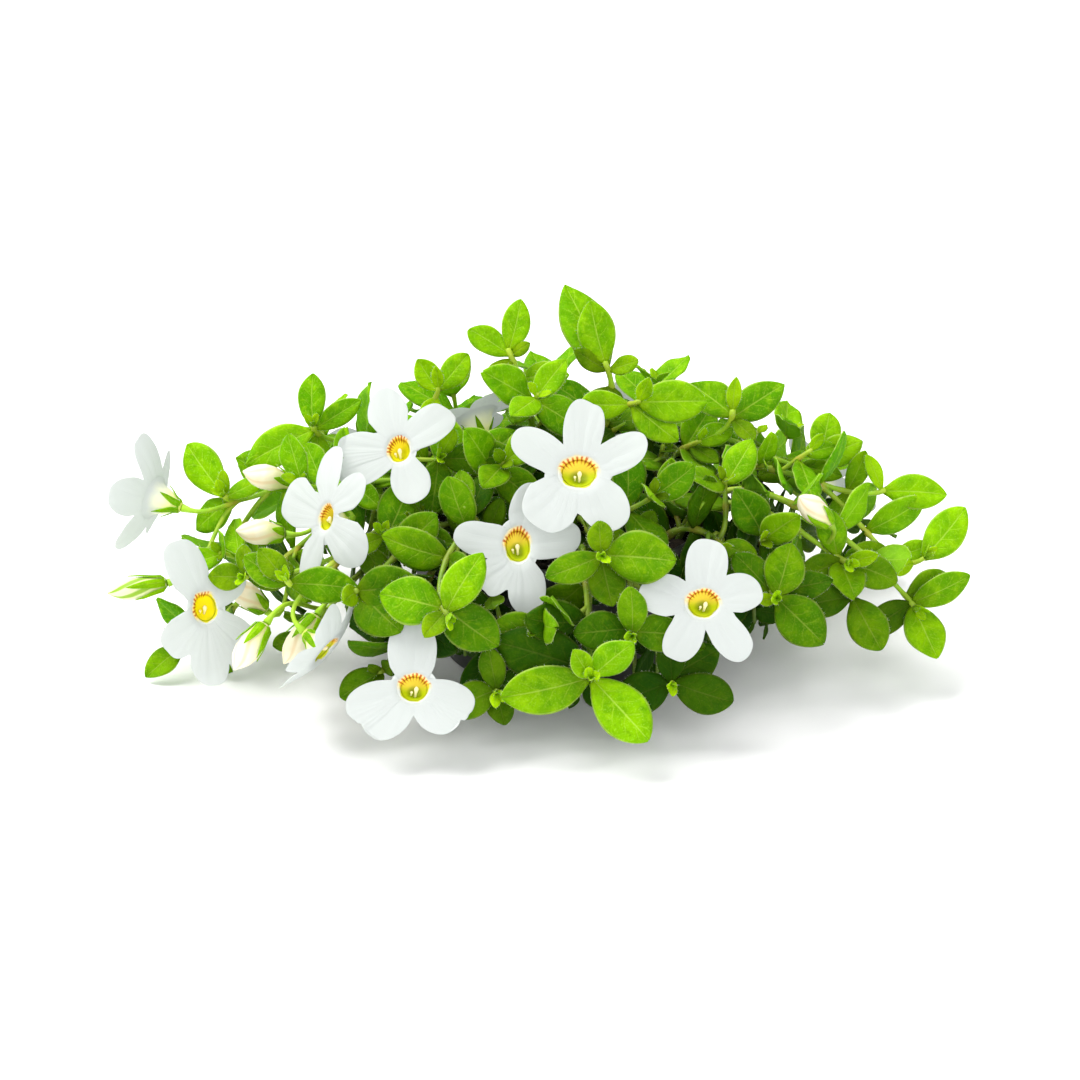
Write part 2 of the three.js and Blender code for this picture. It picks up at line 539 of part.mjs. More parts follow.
// Whether a path's rods run into the pot. The first few, up to skip, may stand in its soil
function rodsMeetPot(rods, skip) {
    return rods.some((rod, i) => [0, 0.25, 0.5, 0.75, 1].some((t) => {
        const p = mix(rod.from, rod.to, t);
        const gap = rod.radius + CLEARANCE;
        const above = i > skip || (i === skip && t > 0);
        return inWall(p, gap) || (above && inPot(p, gap));
    }));
}

// The growing plant: what stands so far, and whether something more would touch it
class Plant {
    constructor() {
        this.rods = [];
        this.blades = [];
        this.leaves = [];
        this.blooms = [];
        this.buds = [];
        this.paths = {};
    }

    rodBlocked(owner, rods, skip, friend) {
        return rodsMeetPot(rods, skip) || rods.some((rod) => {
            const strange = (piece) => piece.owner !== owner && piece.owner !== friend;
            return this.rods.some((other) => strange(other) && rodsTouch(rod, other))
                || this.blades.some((blade) => strange(blade) && bladeHitsRod(blade, rod));
        });
    }

    leafBlocked(blade) {
        return [...blade.net.mid, ...blade.net.rim].some((p) => inPot(p, 0.9))
            || this.rods.some((rod) => rod.owner !== blade.owner && bladeHitsRod(blade, rod))
            || this.blades.some((other) => other.owner !== blade.owner && bladesCross(blade, other));
    }

    // A curved path, bent aside where it would touch a neighbour
    layPath(name, owner, ends, radius, skip, friend) {
        const [p0, p1, p2, p3] = ends;
        const level = Math.hypot(p3[0] - p0[0], p3[1] - p0[1]) > 0.5;
        const flat = unit(level ? cross([0, 0, 1], sub(p3, p0)) : [1, 0, 0]);
        let curve = ends;
        for (const [side, up] of PATH_BENDS) {
            const shift = add(mul(flat, side), [0, 0, up]);
            const bent = [p0, add(p1, mul(shift, 0.6)), add(p2, shift), p3];
            if (!this.rodBlocked(owner, pathRods(name, owner, bent, radius), skip, friend)) {
                curve = bent;
                break;
            }
        }
        this.rods.push(...pathRods(name, owner, curve, radius));
        this.paths[name] = { name, owner, curve, radius };
    }

    place(blade) {
        this.blades.push(blade);
        this.leaves.push(blade);
    }
}

// The straight pieces of a path. A main stem is stepped more finely near its root, where it bends over
// the pot's rim
function pathRods(name, owner, curve, radius) {
    const [steps, bias] = name === owner ? [STEM_STEPS, ROOT_BIAS] : [SIDE_STEPS, 1];
    const points = [];
    for (let i = 0; i <= steps; i++) {
        points.push(bezier(curve, (i / steps) ** bias));
    }
    return rodsOf(owner, points, radius);
}

// The way a leaf at p turns its face: up and outward from the mound
function lightAt(p) {
    return unit([p[0] / 80, (p[1] - 14) / 50 - 0.25, p[2] / 70 + 0.3]);
}

// The bloom's own right and up, seen from its front
function bloomAxes(facing) {
    const side = unit(cross([0, 0, 1], facing));
    return [side, cross(facing, side)];
}

function setBlooms(plant) {
    for (const [name, stem, at, place, looks, radius, reflex, lobes] of BLOOMS) {
        const facing = unit(looks);
        const base = sub(place, mul(facing, TUBE_LENGTH));
        const [side, up] = bloomAxes(facing);
        for (const [angle, half, far] of lobes) {
            const out = add(mul(side, Math.cos(rad(angle))), mul(up, Math.sin(rad(angle))));
            const along = add(out, mul(facing, LOBE_RISE));
            const wide = 2 * half * radius;
            const reach = radius * far;
            plant.blades.push(makeBlade(name, place, along, facing, reach, wide, reflex, 0, LOBE_OUTLINE));
        }
        const neck = sub(place, mul(facing, 1.5));
        plant.rods.push(...rodsOf(name, [sub(base, mul(facing, 0.6)), neck], CALYX_RADIUS));
        plant.rods.push(...rodsOf(name, [neck, place], MOUTH_RADIUS));
        plant.blooms.push({ name, stem, at, place, facing, lobes, radius, reflex, base });
    }
}

function setBuds(plant) {
    for (const [name, stem, at, place, points, size] of BUDS) {
        const facing = unit(points);
        const base = sub(place, mul(facing, size / 2));
        const tip = add(place, mul(facing, size / 2 - 1));
        plant.rods.push(...rodsOf(name, [sub(base, mul(facing, 0.6)), tip], BUD_RADIUS + 0.9));
        plant.buds.push({ name, stem, at, place, facing, size, base });
    }
}

// Each main stem rises from the soil to its knee, which is raised until the stem clears the rim
function layStems(plant) {
    for (const [name, root, rise, [tip, heading]] of STEMS) {
        const start = [root[0], root[1], SOIL_TOP - ROOT_DEPTH];
        const gone = length(sub(tip, start));
        const beforeTip = sub(tip, mul(unit(heading), gone * STEM_PULL));
        let ends = [];
        for (let lift = 0; lift <= KNEE_LIFT; lift++) {
            const knee = [root[0] * KNEE_OUT, root[1] * KNEE_OUT, SOIL_TOP + rise + lift];
            ends = [start, knee, beforeTip, tip];
            if (!rodsMeetPot(pathRods(name, name, ends, STEM_RADIUS), 2)) {
                break;
            }
        }
        plant.layPath(name, name, ends, STEM_RADIUS, 2);
    }
    for (const [name, , , , sides] of STEMS) {
        const main = plant.paths[name].curve;
        sides.forEach(([at, end, heading], i) => {
            const start = bezier(main, at);
            const gone = length(sub(end, start));
            const way = unit(add(mul(bezierTangent(main, at), 0.6), unit(sub(end, start))));
            const afterStart = add(start, mul(way, gone * SIDE_PULL));
            const beforeEnd = sub(end, mul(unit(heading), gone * SIDE_PULL));
            const ends = [start, afterStart, beforeEnd, end];
            plant.layPath(`${name}_side_${i + 1}`, name, ends, SIDE_RADIUS, 0);
        });
    }
}

function layStalks(plant) {
    for (const part of [...plant.blooms, ...plant.buds]) {
        const main = plant.paths[part.stem].curve;
        const start = bezier(main, part.at);
        const end = sub(part.base, mul(part.facing, CALYX_BACK));
        const gone = length(sub(end, start));
        const lift = end[2] > start[2] + 3 ? 0.5 : 0;
        const ahead = mul(bezierTangent(main, part.at), 0.5);
        const way = unit(add(add(ahead, unit(sub(end, start))), [0, 0, lift]));
        const afterStart = add(start, mul(way, gone * STALK_PULL));
        const beforeEnd = sub(end, mul(part.facing, gone * STALK_PULL));
        const ends = [start, afterStart, beforeEnd, end];
        plant.layPath(`${part.name}_stalk`, part.stem, ends, STALK_RADIUS, 0, part.name);
    }
}

function growHead(plant, path, leaves, draw) {
    const run = pathRun(path.curve);
    for (const [slide, angle, lean, size, ratio] of leaves) {
        const at = bezier(path.curve, timeAt(run, run[run.length - 1] - slide));
        const droop = draw.between(-0.02, 0.12);
        const fold = draw.between(0.05, 0.25);
        const tilt = draw.between(-0.3, 0.3);
        for (const [dLean, dAngle, scale] of HEAD_BENDS) {
            const a = rad(angle + dAngle);
            const q = rad(lean + dLean);
            const flat = add(mul(ACROSS_VIEW, Math.cos(a)), mul(UP_VIEW, Math.sin(a)));
            const along = add(mul(flat, Math.cos(q)), mul(TO_VIEW, Math.sin(q)));
            const face = add(add(TO_VIEW, mul(lightAt(at), 0.5)), mul(cross(flat, TO_VIEW), tilt));
            const long = size * scale;
            const blade = makeBlade(
                path.owner, at, along, face, long, long * ratio, droop, fold, LEAF_OUTLINE,
            );
            if (!plant.leafBlocked(blade)) {
                plant.place(blade);
                break;
            }
        }
    }
}

// Whether a leaf would stand before the face of a bloom that looks to the front
function hidesBloom(plant, { centre, net }) {
    const inFront = plant.blooms.filter(({ facing }) => dot(facing, TO_VIEW) >= FRONT_FACE);
    return inFront.some(({ place, radius }) => [centre, ...net.mid, ...net.rim].some((p) => {
        const d = sub(p, place);
        const ahead = dot(d, TO_VIEW);
        return ahead > -FACE_DEPTH && length(sub(d, mul(TO_VIEW, ahead))) < radius * FACE_KEPT;
    }));
}

function growPair(plant, path, at, ahead, k, leaf, twist, openness, draw) {
    const lit = lightAt(at);
    const level = Math.abs(ahead[0]) < 0.93 ? [1, 0, 0] : [0, 1, 0];
    const side = unit(sub(level, mul(ahead, dot(level, ahead))));
    const other = cross(side, ahead);
    const spreadJitter = draw.between(-8, 8);
    const sizeJitter = draw.between(0.88, 1.08);
    for (const turn of [0, 180]) {
        const start = twist + 90 * (k - 2) + turn + draw.between(-12, 12);
        const droop = draw.between(0, 0.2);
        const fold = draw.between(0.1, 0.32);
        for (const [dSpread, dPhase, scale] of LEAF_BENDS) {
            const phase = rad(start + dPhase);
            const spread = rad(PAIR_SPREAD[k] * openness + spreadJitter + dSpread);
            const out = add(mul(side, Math.cos(phase)), mul(other, Math.sin(phase)));
            const along = add(mul(out, Math.sin(spread)), mul(ahead, Math.cos(spread)));
            const back = sub(mul(ahead, Math.sin(spread)), mul(out, Math.cos(spread)));
            const face = add(back, mul(lit, LIGHT_PULL));
            const size = leaf * PAIR_SIZES[k] * sizeJitter * scale;
            if (length(cross(along, face)) < 0.15) {
                continue;
            }
            const blade = makeBlade(
                path.owner, at, along, face, size, size * LEAF_WIDTH, droop, fold, SMALL_OUTLINE,
            );
            if (!plant.leafBlocked(blade) && !hidesBloom(plant, blade)) {
                plant.place(blade);
                break;
            }
        }
    }
}

function growLeaves(plant, path, pairs, leaf, twist, openness, draw) {
    const run = pathRun(path.curve);
    const whole = run[run.length - 1];
    const first = HEADS[path.name] ? HEAD_PAIRS : FIRST_PAIR;
    const last = Math.min(pairs, PAIR_OFFSETS.length);
    for (let k = first; k < last; k++) {
        const want = whole - PAIR_OFFSETS[k] * (0.92 + 0.16 * draw.next());
        if (want < whole * 0.12) {
            break;
        }
        const t = timeAt(run, want);
        const at = bezier(path.curve, t);
        const ahead = bezierTangent(path.curve, t);
        growPair(plant, path, at, ahead, k, leaf, twist, openness, draw);
    }
}

function grow() {
    const plant = new Plant();
    const draw = new Draw(SEED);
    setBlooms(plant);
    setBuds(plant);
    layStems(plant);
    layStalks(plant);
    const shoots = STEMS.flatMap(([name, , , [, , ...own], sides]) => [
        ...sides.map(([, , , ...shoot], i) => [plant.paths[`${name}_side_${i + 1}`], ...shoot]),
        [plant.paths[name], ...own],
    ]);
    for (const [path] of shoots) {
        growHead(plant, path, HEADS[path.name] ?? [], draw);
    }
    for (const [path, ...shoot] of shoots) {
        growLeaves(plant, path, ...shoot, draw);
    }
    return plant;
}

// Solids
function solidFrom(geometry) {
    const plain = geometry.clone();
    plain.deleteAttribute("normal");
    plain.deleteAttribute("uv");
    const merged = mergeVertices(plain, 1e-4);
    return new wasm.Manifold(new wasm.Mesh({
        numProp: 3,
        vertProperties: new Float32Array(merged.attributes.position.array),
        triVerts: new Uint32Array(merged.index.array),
    }));
}

function geometryFrom(solid) {
    const mesh = solid.getMesh();
    const geometry = new THREE.BufferGeometry();
    geometry.setAttribute("position", new THREE.BufferAttribute(new Float32Array(mesh.vertProperties), 3));
    geometry.setIndex([...mesh.triVerts]);
    geometry.computeVertexNormals();
    return geometry;
}

function geometryOf(points, faces) {
    const geometry = new THREE.BufferGeometry();
    geometry.setAttribute("position", new THREE.Float32BufferAttribute(points.flat(), 3));
    geometry.setIndex(faces.flat());
    geometry.computeVertexNormals();
    return geometry;
}

// The largest body of a solid, without loose scraps and sealed hollows
function mainBody(solid) {
    const bodies = solid.decompose();
    return bodies.reduce((best, body) => (body.volume() > best.volume() ? body : best));
}

function joinAll(solids) {
    return mainBody(solids.reduce((whole, solid) => whole.add(solid)).simplify(FUSE_TOLERANCE));
}

// A curve whose even steps fall closer together near its start
class StemCurve extends THREE.CubicBezierCurve3 {
    constructor(curve, bias) {
        super(...curve.map(vector));
        this.bias = bias;
    }

    getUtoTmapping(u) {
        return u ** this.bias;
    }
}

// A round rod along a curved path
function rodSolid(path, radius, sides, steps) {
    const section = new THREE.Shape();
    for (let i = 0; i < sides; i++) {
        const turn = i * 2 * Math.PI / sides;
        section[i ? "lineTo" : "moveTo"](radius * Math.cos(turn), radius * Math.sin(turn));
    }
    section.closePath();
    return solidFrom(new THREE.ExtrudeGeometry(section, { steps, extrudePath: path, bevelEnabled: false }));
}

function pathSolid({ name, owner, curve, radius }) {
    return name === owner
        ? rodSolid(new StemCurve(curve, ROOT_BIAS), radius, STEM_SIDES, STEM_STEPS)
        : rodSolid(new StemCurve(curve, 1), radius, SIDE_SIDES, SIDE_STEPS);
}

// A leaf: a lens with a sharp rim, thickest along the midrib, its root in the middle of the stem
function leafSolid(blade) {
    const points = [blade.base];
    const thick = mul(blade.normal, LEAF_THICK / 2);
    const inner = blade.outline.slice(1, -1);
    for (const [u] of inner) {
        const middle = bladePoint(blade, u, 0);
        points.push(bladePoint(blade, u, 1), add(middle, thick));
        points.push(bladePoint(blade, u, -1), sub(middle, thick));
    }
    points.push(bladePoint(blade, 1, 0));
    return solidFrom(geometryOf(points, lensFaces(inner.length)));
}

// Faces of a closed lens: a point, rings of four, and a point
function lensFaces(rings) {
    const faces = [];
    const last = 1 + 4 * rings;
    for (let side = 0; side < 4; side++) {
        const next = (side + 1) % 4;
        faces.push([0, 1 + next, 1 + side]);
        for (let ring = 0; ring < rings - 1; ring++) {
            const a = 1 + 4 * ring;
            faces.push([a + side, a + next, a + 4 + side], [a + next, a + 4 + next, a + 4 + side]);
        }
        faces.push([last - 4 + side, last - 4 + next, last]);
    }
    return faces;
}

// The green calyx behind a bloom or a bud: a cup drawn out into five pointed sepals, clear of the petals
function calyxSolid(part, { floor, cleft, point }) {
    const [side, up] = bloomAxes(part.facing);
    const at = (angle, r, ahead) => add(
        add(part.base, mul(part.facing, ahead)),
        add(mul(side, r * Math.cos(angle)), mul(up, r * Math.sin(angle))),
    );
    const points = [at(0, 0, -CALYX_DEPTH), at(0, 0, -CALYX_GAP)];
    const faces = [];
    for (let i = 0; i < SEPALS; i++) {
        const angle = i * 2 * Math.PI / SEPALS;
        const half = Math.PI / SEPALS;
        points.push(at(angle, floor + SEPAL_THICK, -CALYX_GAP / 2), at(angle, floor, -CALYX_GAP));
        points.push(at(angle, ...point), at(angle + half, ...cleft));
        const [outer, inner, tip, dip] = [2, 3, 4, 5].map((k) => k + 4 * i);
        const [nextOuter, nextInner, nextTip] = [2, 3, 4].map((k) => k + 4 * ((i + 1) % SEPALS));
        faces.push([0, nextOuter, outer], [1, inner, nextInner]);
        faces.push([outer, dip, tip], [outer, nextOuter, dip], [nextOuter, nextTip, dip]);
        faces.push([inner, tip, dip], [inner, dip, nextInner], [nextInner, dip, nextTip]);
    }
    return solidFrom(geometryOf(points, faces));
}

// Pot and soil
function potGeometry() {
    const shoulder = POT_HEIGHT - RIM_BAND;
    const neck = RIM_RADIUS - RIM_STEP;
    const profile = [
        [0, 0], [BASE_RADIUS, 0], [neck, shoulder], [RIM_RADIUS, shoulder], [RIM_RADIUS, POT_HEIGHT],
        [neck - WALL, POT_HEIGHT], [neck - WALL, shoulder], [BASE_RADIUS - WALL, WALL], [0, WALL],
    ];
    let pot = solidFrom(lathe(profile));
    for (let i = 0; i < DRAIN_HOLES; i++) {
        const turn = (i + 0.25) * 2 * Math.PI / DRAIN_HOLES;
        const hole = new THREE.CylinderGeometry(DRAIN_RADIUS, DRAIN_RADIUS, 4 * WALL, 8);
        hole.rotateX(Math.PI / 2);
        hole.translate(DRAIN_CIRCLE * Math.cos(turn), DRAIN_CIRCLE * Math.sin(turn), 0);
        pot = pot.subtract(solidFrom(hole));
    }
    return geometryFrom(pot);
}

function soilGeometry(plant) {
    const neck = RIM_RADIUS - RIM_STEP - WALL - SOIL_GAP;
    const profile = [
        [0, WALL + SOIL_GAP], [BASE_RADIUS - WALL - SOIL_GAP, WALL + SOIL_GAP],
        [neck, POT_HEIGHT - RIM_BAND], [neck - 2, SOIL_TOP], [0, SOIL_TOP],
    ];
    let soil = solidFrom(lathe(profile));
    for (const [name] of STEMS) {
        soil = soil.subtract(holeSolid(plant.paths[name].curve));
    }
    return geometryFrom(mainBody(soil));
}

// A plain hole along the first straight piece of a stem, wider all round and a little longer
function holeSolid(curve) {
    const bend = bezier(curve, (1 / STEM_STEPS) ** ROOT_BIAS);
    const way = unit(sub(bend, curve[0]));
    const foot = sub(curve[0], mul(way, SOIL_GAP + 0.2));
    const radius = (STEM_RADIUS + SOIL_GAP + 0.05) / Math.cos(Math.PI / HOLE_SIDES);
    return rodSolid(new THREE.LineCurve3(vector(foot), vector(add(bend, way))), radius, HOLE_SIDES, 1);
}

// A turned shape round the Z axis
function lathe(profile) {
    const outline = profile.map(([r, z]) => new THREE.Vector2(r, z));
    return new THREE.LatheGeometry(outline, POT_SIDES).rotateX(Math.PI / 2);
}

// A leafy stem with its side shoots, leaves, flower stalks and calyxes in one body
function stemGeometry(plant, name) {
    const solids = Object.values(plant.paths)
        .filter((path) => path.owner === name)
        .map(pathSolid);
    for (const bloom of plant.blooms.filter((part) => part.stem === name)) {
        solids.push(calyxSolid(bloom, BLOOM_CALYX));
    }
    for (const bud of plant.buds.filter((part) => part.stem === name)) {
        solids.push(calyxSolid(bud, BUD_CALYX));
    }
    solids.push(...plant.leaves.filter((leaf) => leaf.owner === name).map(leafSolid));
    return geometryFrom(joinAll(solids));
}

// Columns round a bloom: the middle of each lobe and the cleft after it
function bloomColumns(lobes) {
    return lobes.flatMap(([angle], i) => {
        const next = i + 1 < lobes.length ? lobes[i + 1][0] : lobes[0][0] + 360;
        return [angle, (angle + next) / 2];
    }).map(rad);
}

// The white flower: a narrow tube that opens into five lobes, in one thin body
function bloomGeometry({ lobes, radius, reflex }) {
    const points = [];
    const faces = [];
    const put = (angle, r, z, shift = 0) => {
        const x = r * Math.cos(angle) - shift * Math.sin(angle);
        const y = r * Math.sin(angle) + shift * Math.cos(angle);
        return points.push([x, y, z]) - 1;
    };
    const columns = bloomColumns(lobes);
    const n = columns.length;
    const innerEnd = columns.map((angle) => put(angle, BORE_RADIUS, -BORE_DEPTH));
    const outerEnd = columns.map((angle) => put(angle, TUBE_RADIUS, -TUBE_LENGTH));
    const clefts = columns.map((angle, i) => (i % 2 ? put(angle, CLEFT_RADIUS, -CLEFT_DEPTH) : null));
    const front = columns.map((angle, i) => (i % 2 ? clefts[i] : put(angle, MOUTH_EDGE, 0)));
    const back = columns.map((angle, i) => (i % 2 ? clefts[i] : put(angle, CLEFT_RADIUS, -MOUTH_THICK)));
    const innerMiddle = put(0, 0, -BORE_DEPTH);
    const outerMiddle = put(0, 0, -TUBE_LENGTH);
    for (let i = 0; i < n; i++) {
        const j = (i + 1) % n;
        faces.push([innerMiddle, innerEnd[i], innerEnd[j]], [outerMiddle, outerEnd[j], outerEnd[i]]);
        faces.push([innerEnd[i], front[i], innerEnd[j]], [front[i], front[j], innerEnd[j]]);
        faces.push([outerEnd[i], outerEnd[j], back[i]], [back[i], outerEnd[j], back[j]]);
    }
    for (let i = 0; i < n; i += 2) {
        const angle = columns[i];
        const [, half, far] = lobes[i / 2];
        const reach = radius * far;
        const before = (i + n - 1) % n;
        const after = i + 1;
        const gaps = [
            (angle - columns[before] + 2 * Math.PI) % (2 * Math.PI),
            (columns[after] - angle + 2 * Math.PI) % (2 * Math.PI),
        ];
        const stations = LOBE_OUTLINE.slice(2, -1).map(([u, w]) => {
            const r = u * reach;
            const z = LOBE_RISE * r - reflex * reach * u * u;
            const full = w * radius * half;
            const room = (gap) => r * Math.tan(Math.min(gap, WIDEST_GAP)) - LOBE_GAP;
            const [right, left] = gaps.map((gap) => Math.min(full, room(gap)));
            return {
                right: put(angle, r, z, -right),
                left: put(angle, r, z, left),
                front: put(angle, r, z + LOBE_THICK / 2),
                back: put(angle, r, z - LOBE_THICK / 2),
            };
        });
        const end = put(angle, reach, (LOBE_RISE - reflex) * reach);
        const rights = [clefts[before], ...stations.map((s) => s.right), end];
        const lefts = [clefts[after], ...stations.map((s) => s.left), end];
        const fronts = [front[i], ...stations.slice(0, 2).map((s) => s.front), end];
        const backs = [back[i], ...stations.slice(0, 2).map((s) => s.back), end];
        faces.push(...lobeStrip(rights, fronts), ...lobeStrip(lefts, fronts).map(flip));
        faces.push(...lobeStrip(rights, backs).map(flip), ...lobeStrip(lefts, backs));
    }
    return geometryOf(points, faces);
}

const flip = ([a, b, c]) => [a, c, b];

// Triangles between a lobe's rim (cleft, three points, tip) and its middle line (mouth, two points, tip)
function lobeStrip([c, a1, a2, a3, t], [m0, m1, m2]) {
    return [[c, a1, m0], [a1, m1, m0], [a1, a2, m1], [a2, m2, m1], [a2, a3, m2], [a3, t, m2]];
}

// The yellow-green throat: a cup in the flower's tube, with two pale stamens
function throatGeometry({ lobes }) {
    const columns = bloomColumns(lobes);
    const n = columns.length;
    const points = [[0, 0, -CUP_FLOOR], [0, 0, -CUP_DEPTH]];
    const faces = [];
    for (const angle of columns) {
        points.push([CUP_RADIUS * Math.cos(angle), CUP_RADIUS * Math.sin(angle), -CUP_RIM]);
        points.push([CUP_FOOT * Math.cos(angle), CUP_FOOT * Math.sin(angle), -CUP_DEPTH]);
    }
    for (let i = 0; i < n; i++) {
        const rim = 2 + 2 * i;
        const nextRim = 2 + 2 * ((i + 1) % n);
        faces.push([0, rim, nextRim], [1, nextRim + 1, rim + 1]);
        faces.push([rim, rim + 1, nextRim], [nextRim, rim + 1, nextRim + 1]);
    }
    const cup = solidFrom(geometryOf(points, faces));
    return geometryFrom(joinAll([cup, ...STAMENS.map(stamenSolid)]));
}

// A stamen that stands in the cup, widest at its head
function stamenSolid([x, top]) {
    const foot = [x * 0.5, 0, -CUP_FLOOR - 0.3];
    const head = top - 0.7;
    const ring = [0, 1, 2, 3].map((i) => {
        const turn = i * Math.PI / 2;
        return [x + STAMEN_HEAD * Math.cos(turn), STAMEN_HEAD * Math.sin(turn), head];
    });
    return solidFrom(geometryOf([foot, ...ring, [x, 0, top]], lensFaces(1)));
}

// A cream bud, fatter past its middle and drawn out to a tip
function budGeometry({ size }) {
    const half = size / 2;
    const rings = [[BUD_FOOT, -half], [BUD_RADIUS * 0.86, -0.3 * half], [BUD_RADIUS, 0.3 * half]];
    const points = [[0, 0, -half]];
    const faces = [];
    for (const [r, z] of rings) {
        for (let i = 0; i < BUD_SIDES; i++) {
            const turn = i * 2 * Math.PI / BUD_SIDES;
            points.push([r * Math.cos(turn), r * Math.sin(turn), z]);
        }
    }
    const tip = points.push([0, 0, half]) - 1;
    for (let i = 0; i < BUD_SIDES; i++) {
        const j = (i + 1) % BUD_SIDES;
        faces.push([0, 1 + j, 1 + i]);
        for (let ring = 0; ring < rings.length - 1; ring++) {
            const a = 1 + ring * BUD_SIDES;
            faces.push([a + i, a + j, a + BUD_SIDES + i], [a + j, a + BUD_SIDES + j, a + BUD_SIDES + i]);
        }
        faces.push([tip - BUD_SIDES + i, tip - BUD_SIDES + j, tip]);
    }
    return geometryOf(points, faces);
}

// The whole object
const plant = grow();
const object = new THREE.Group();

function addMesh(name, geometry, material) {
    const mesh = new THREE.Mesh(geometry, material);
    mesh.name = name;
    object.add(mesh);
    return mesh;
}

function standAt(mesh, { place, facing }) {
    const [side, up] = bloomAxes(facing);
    mesh.position.set(...place);
    const turn = new THREE.Matrix4().makeBasis(vector(side), vector(up), vector(facing));
    mesh.quaternion.setFromRotationMatrix(turn);
}

addMesh("pot", potGeometry(), POT_PLASTIC);
addMesh("soil", soilGeometry(plant), SOIL);
for (const [name] of STEMS) {
    addMesh(name, stemGeometry(plant, name), FOLIAGE);
}
for (const bloom of plant.blooms) {
    standAt(addMesh(bloom.name, bloomGeometry(bloom), PETAL), bloom);
    standAt(addMesh(bloom.name.replace("bloom", "throat"), throatGeometry(bloom), THROAT), bloom);
}
for (const bud of plant.buds) {
    standAt(addMesh(bud.name, budGeometry(bud), BUD), bud);
}

export default object;
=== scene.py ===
import math
from functools import cache, partial

import bpy
import numpy as np
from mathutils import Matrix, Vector


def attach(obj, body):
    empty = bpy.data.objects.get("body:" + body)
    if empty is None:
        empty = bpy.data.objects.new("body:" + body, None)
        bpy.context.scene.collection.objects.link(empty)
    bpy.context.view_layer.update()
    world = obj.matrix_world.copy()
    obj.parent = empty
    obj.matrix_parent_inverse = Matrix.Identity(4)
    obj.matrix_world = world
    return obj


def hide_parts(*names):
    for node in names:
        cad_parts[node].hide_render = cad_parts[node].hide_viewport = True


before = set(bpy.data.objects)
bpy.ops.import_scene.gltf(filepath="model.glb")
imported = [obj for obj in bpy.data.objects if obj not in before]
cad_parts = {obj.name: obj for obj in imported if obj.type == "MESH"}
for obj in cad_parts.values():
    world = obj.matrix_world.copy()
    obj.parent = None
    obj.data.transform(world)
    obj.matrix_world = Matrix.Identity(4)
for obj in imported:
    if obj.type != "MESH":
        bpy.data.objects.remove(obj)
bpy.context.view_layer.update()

# A potted water hyssop: 25 leafy stems, 13 white blooms and 7 buds in a low pot, laid out in millimetres

# Pot and soil
POT_HEIGHT = 27.0
RIM_RADIUS = 30.0
BASE_RADIUS = 21.5
RIM_BAND = 4.0
RIM_STEP = 1.6
WALL = 1.8
SOIL_TOP = 24.5

# Stems and leaves: the rods that stand for a stem, close together near its root, and their radii
STEM_STEPS = 6
SIDE_STEPS = 3
ROOT_BIAS = 1.2
STEM_RADIUS = 0.75
SIDE_RADIUS = 0.6
STALK_RADIUS = 0.5
# A leaf's width over its length, its thickness in the layout, and half widths along it
LEAF_WIDTH = 0.62
LEAF_THICK = 0.9
LEAF_STATIONS = ((0.0, 0.0), (0.33, 0.84), (0.6, 1.0), (0.86, 0.66), (1.0, 0.0))
SMALL_STATIONS = ((0.0, 0.0), (0.38, 0.95), (0.76, 0.84), (1.0, 0.0))
# The air that is kept between neighbours
AIR = 0.45
HAIR_RADIUS = 0.014
# The mound's half sizes, past which leaves lie fully open to the light
MOUND = (62, 44, 50)

# Blooms and buds
TUBE_LENGTH = 5.0
MOUTH_RADIUS = 3.3
LOBE_STATIONS = ((0.0, 0.0), (0.27, 0.5), (0.52, 0.86), (0.78, 1.0), (0.94, 0.6), (1.0, 0.0))
CALYX_RADIUS = 3.6
BUD_RADIUS = 2.3

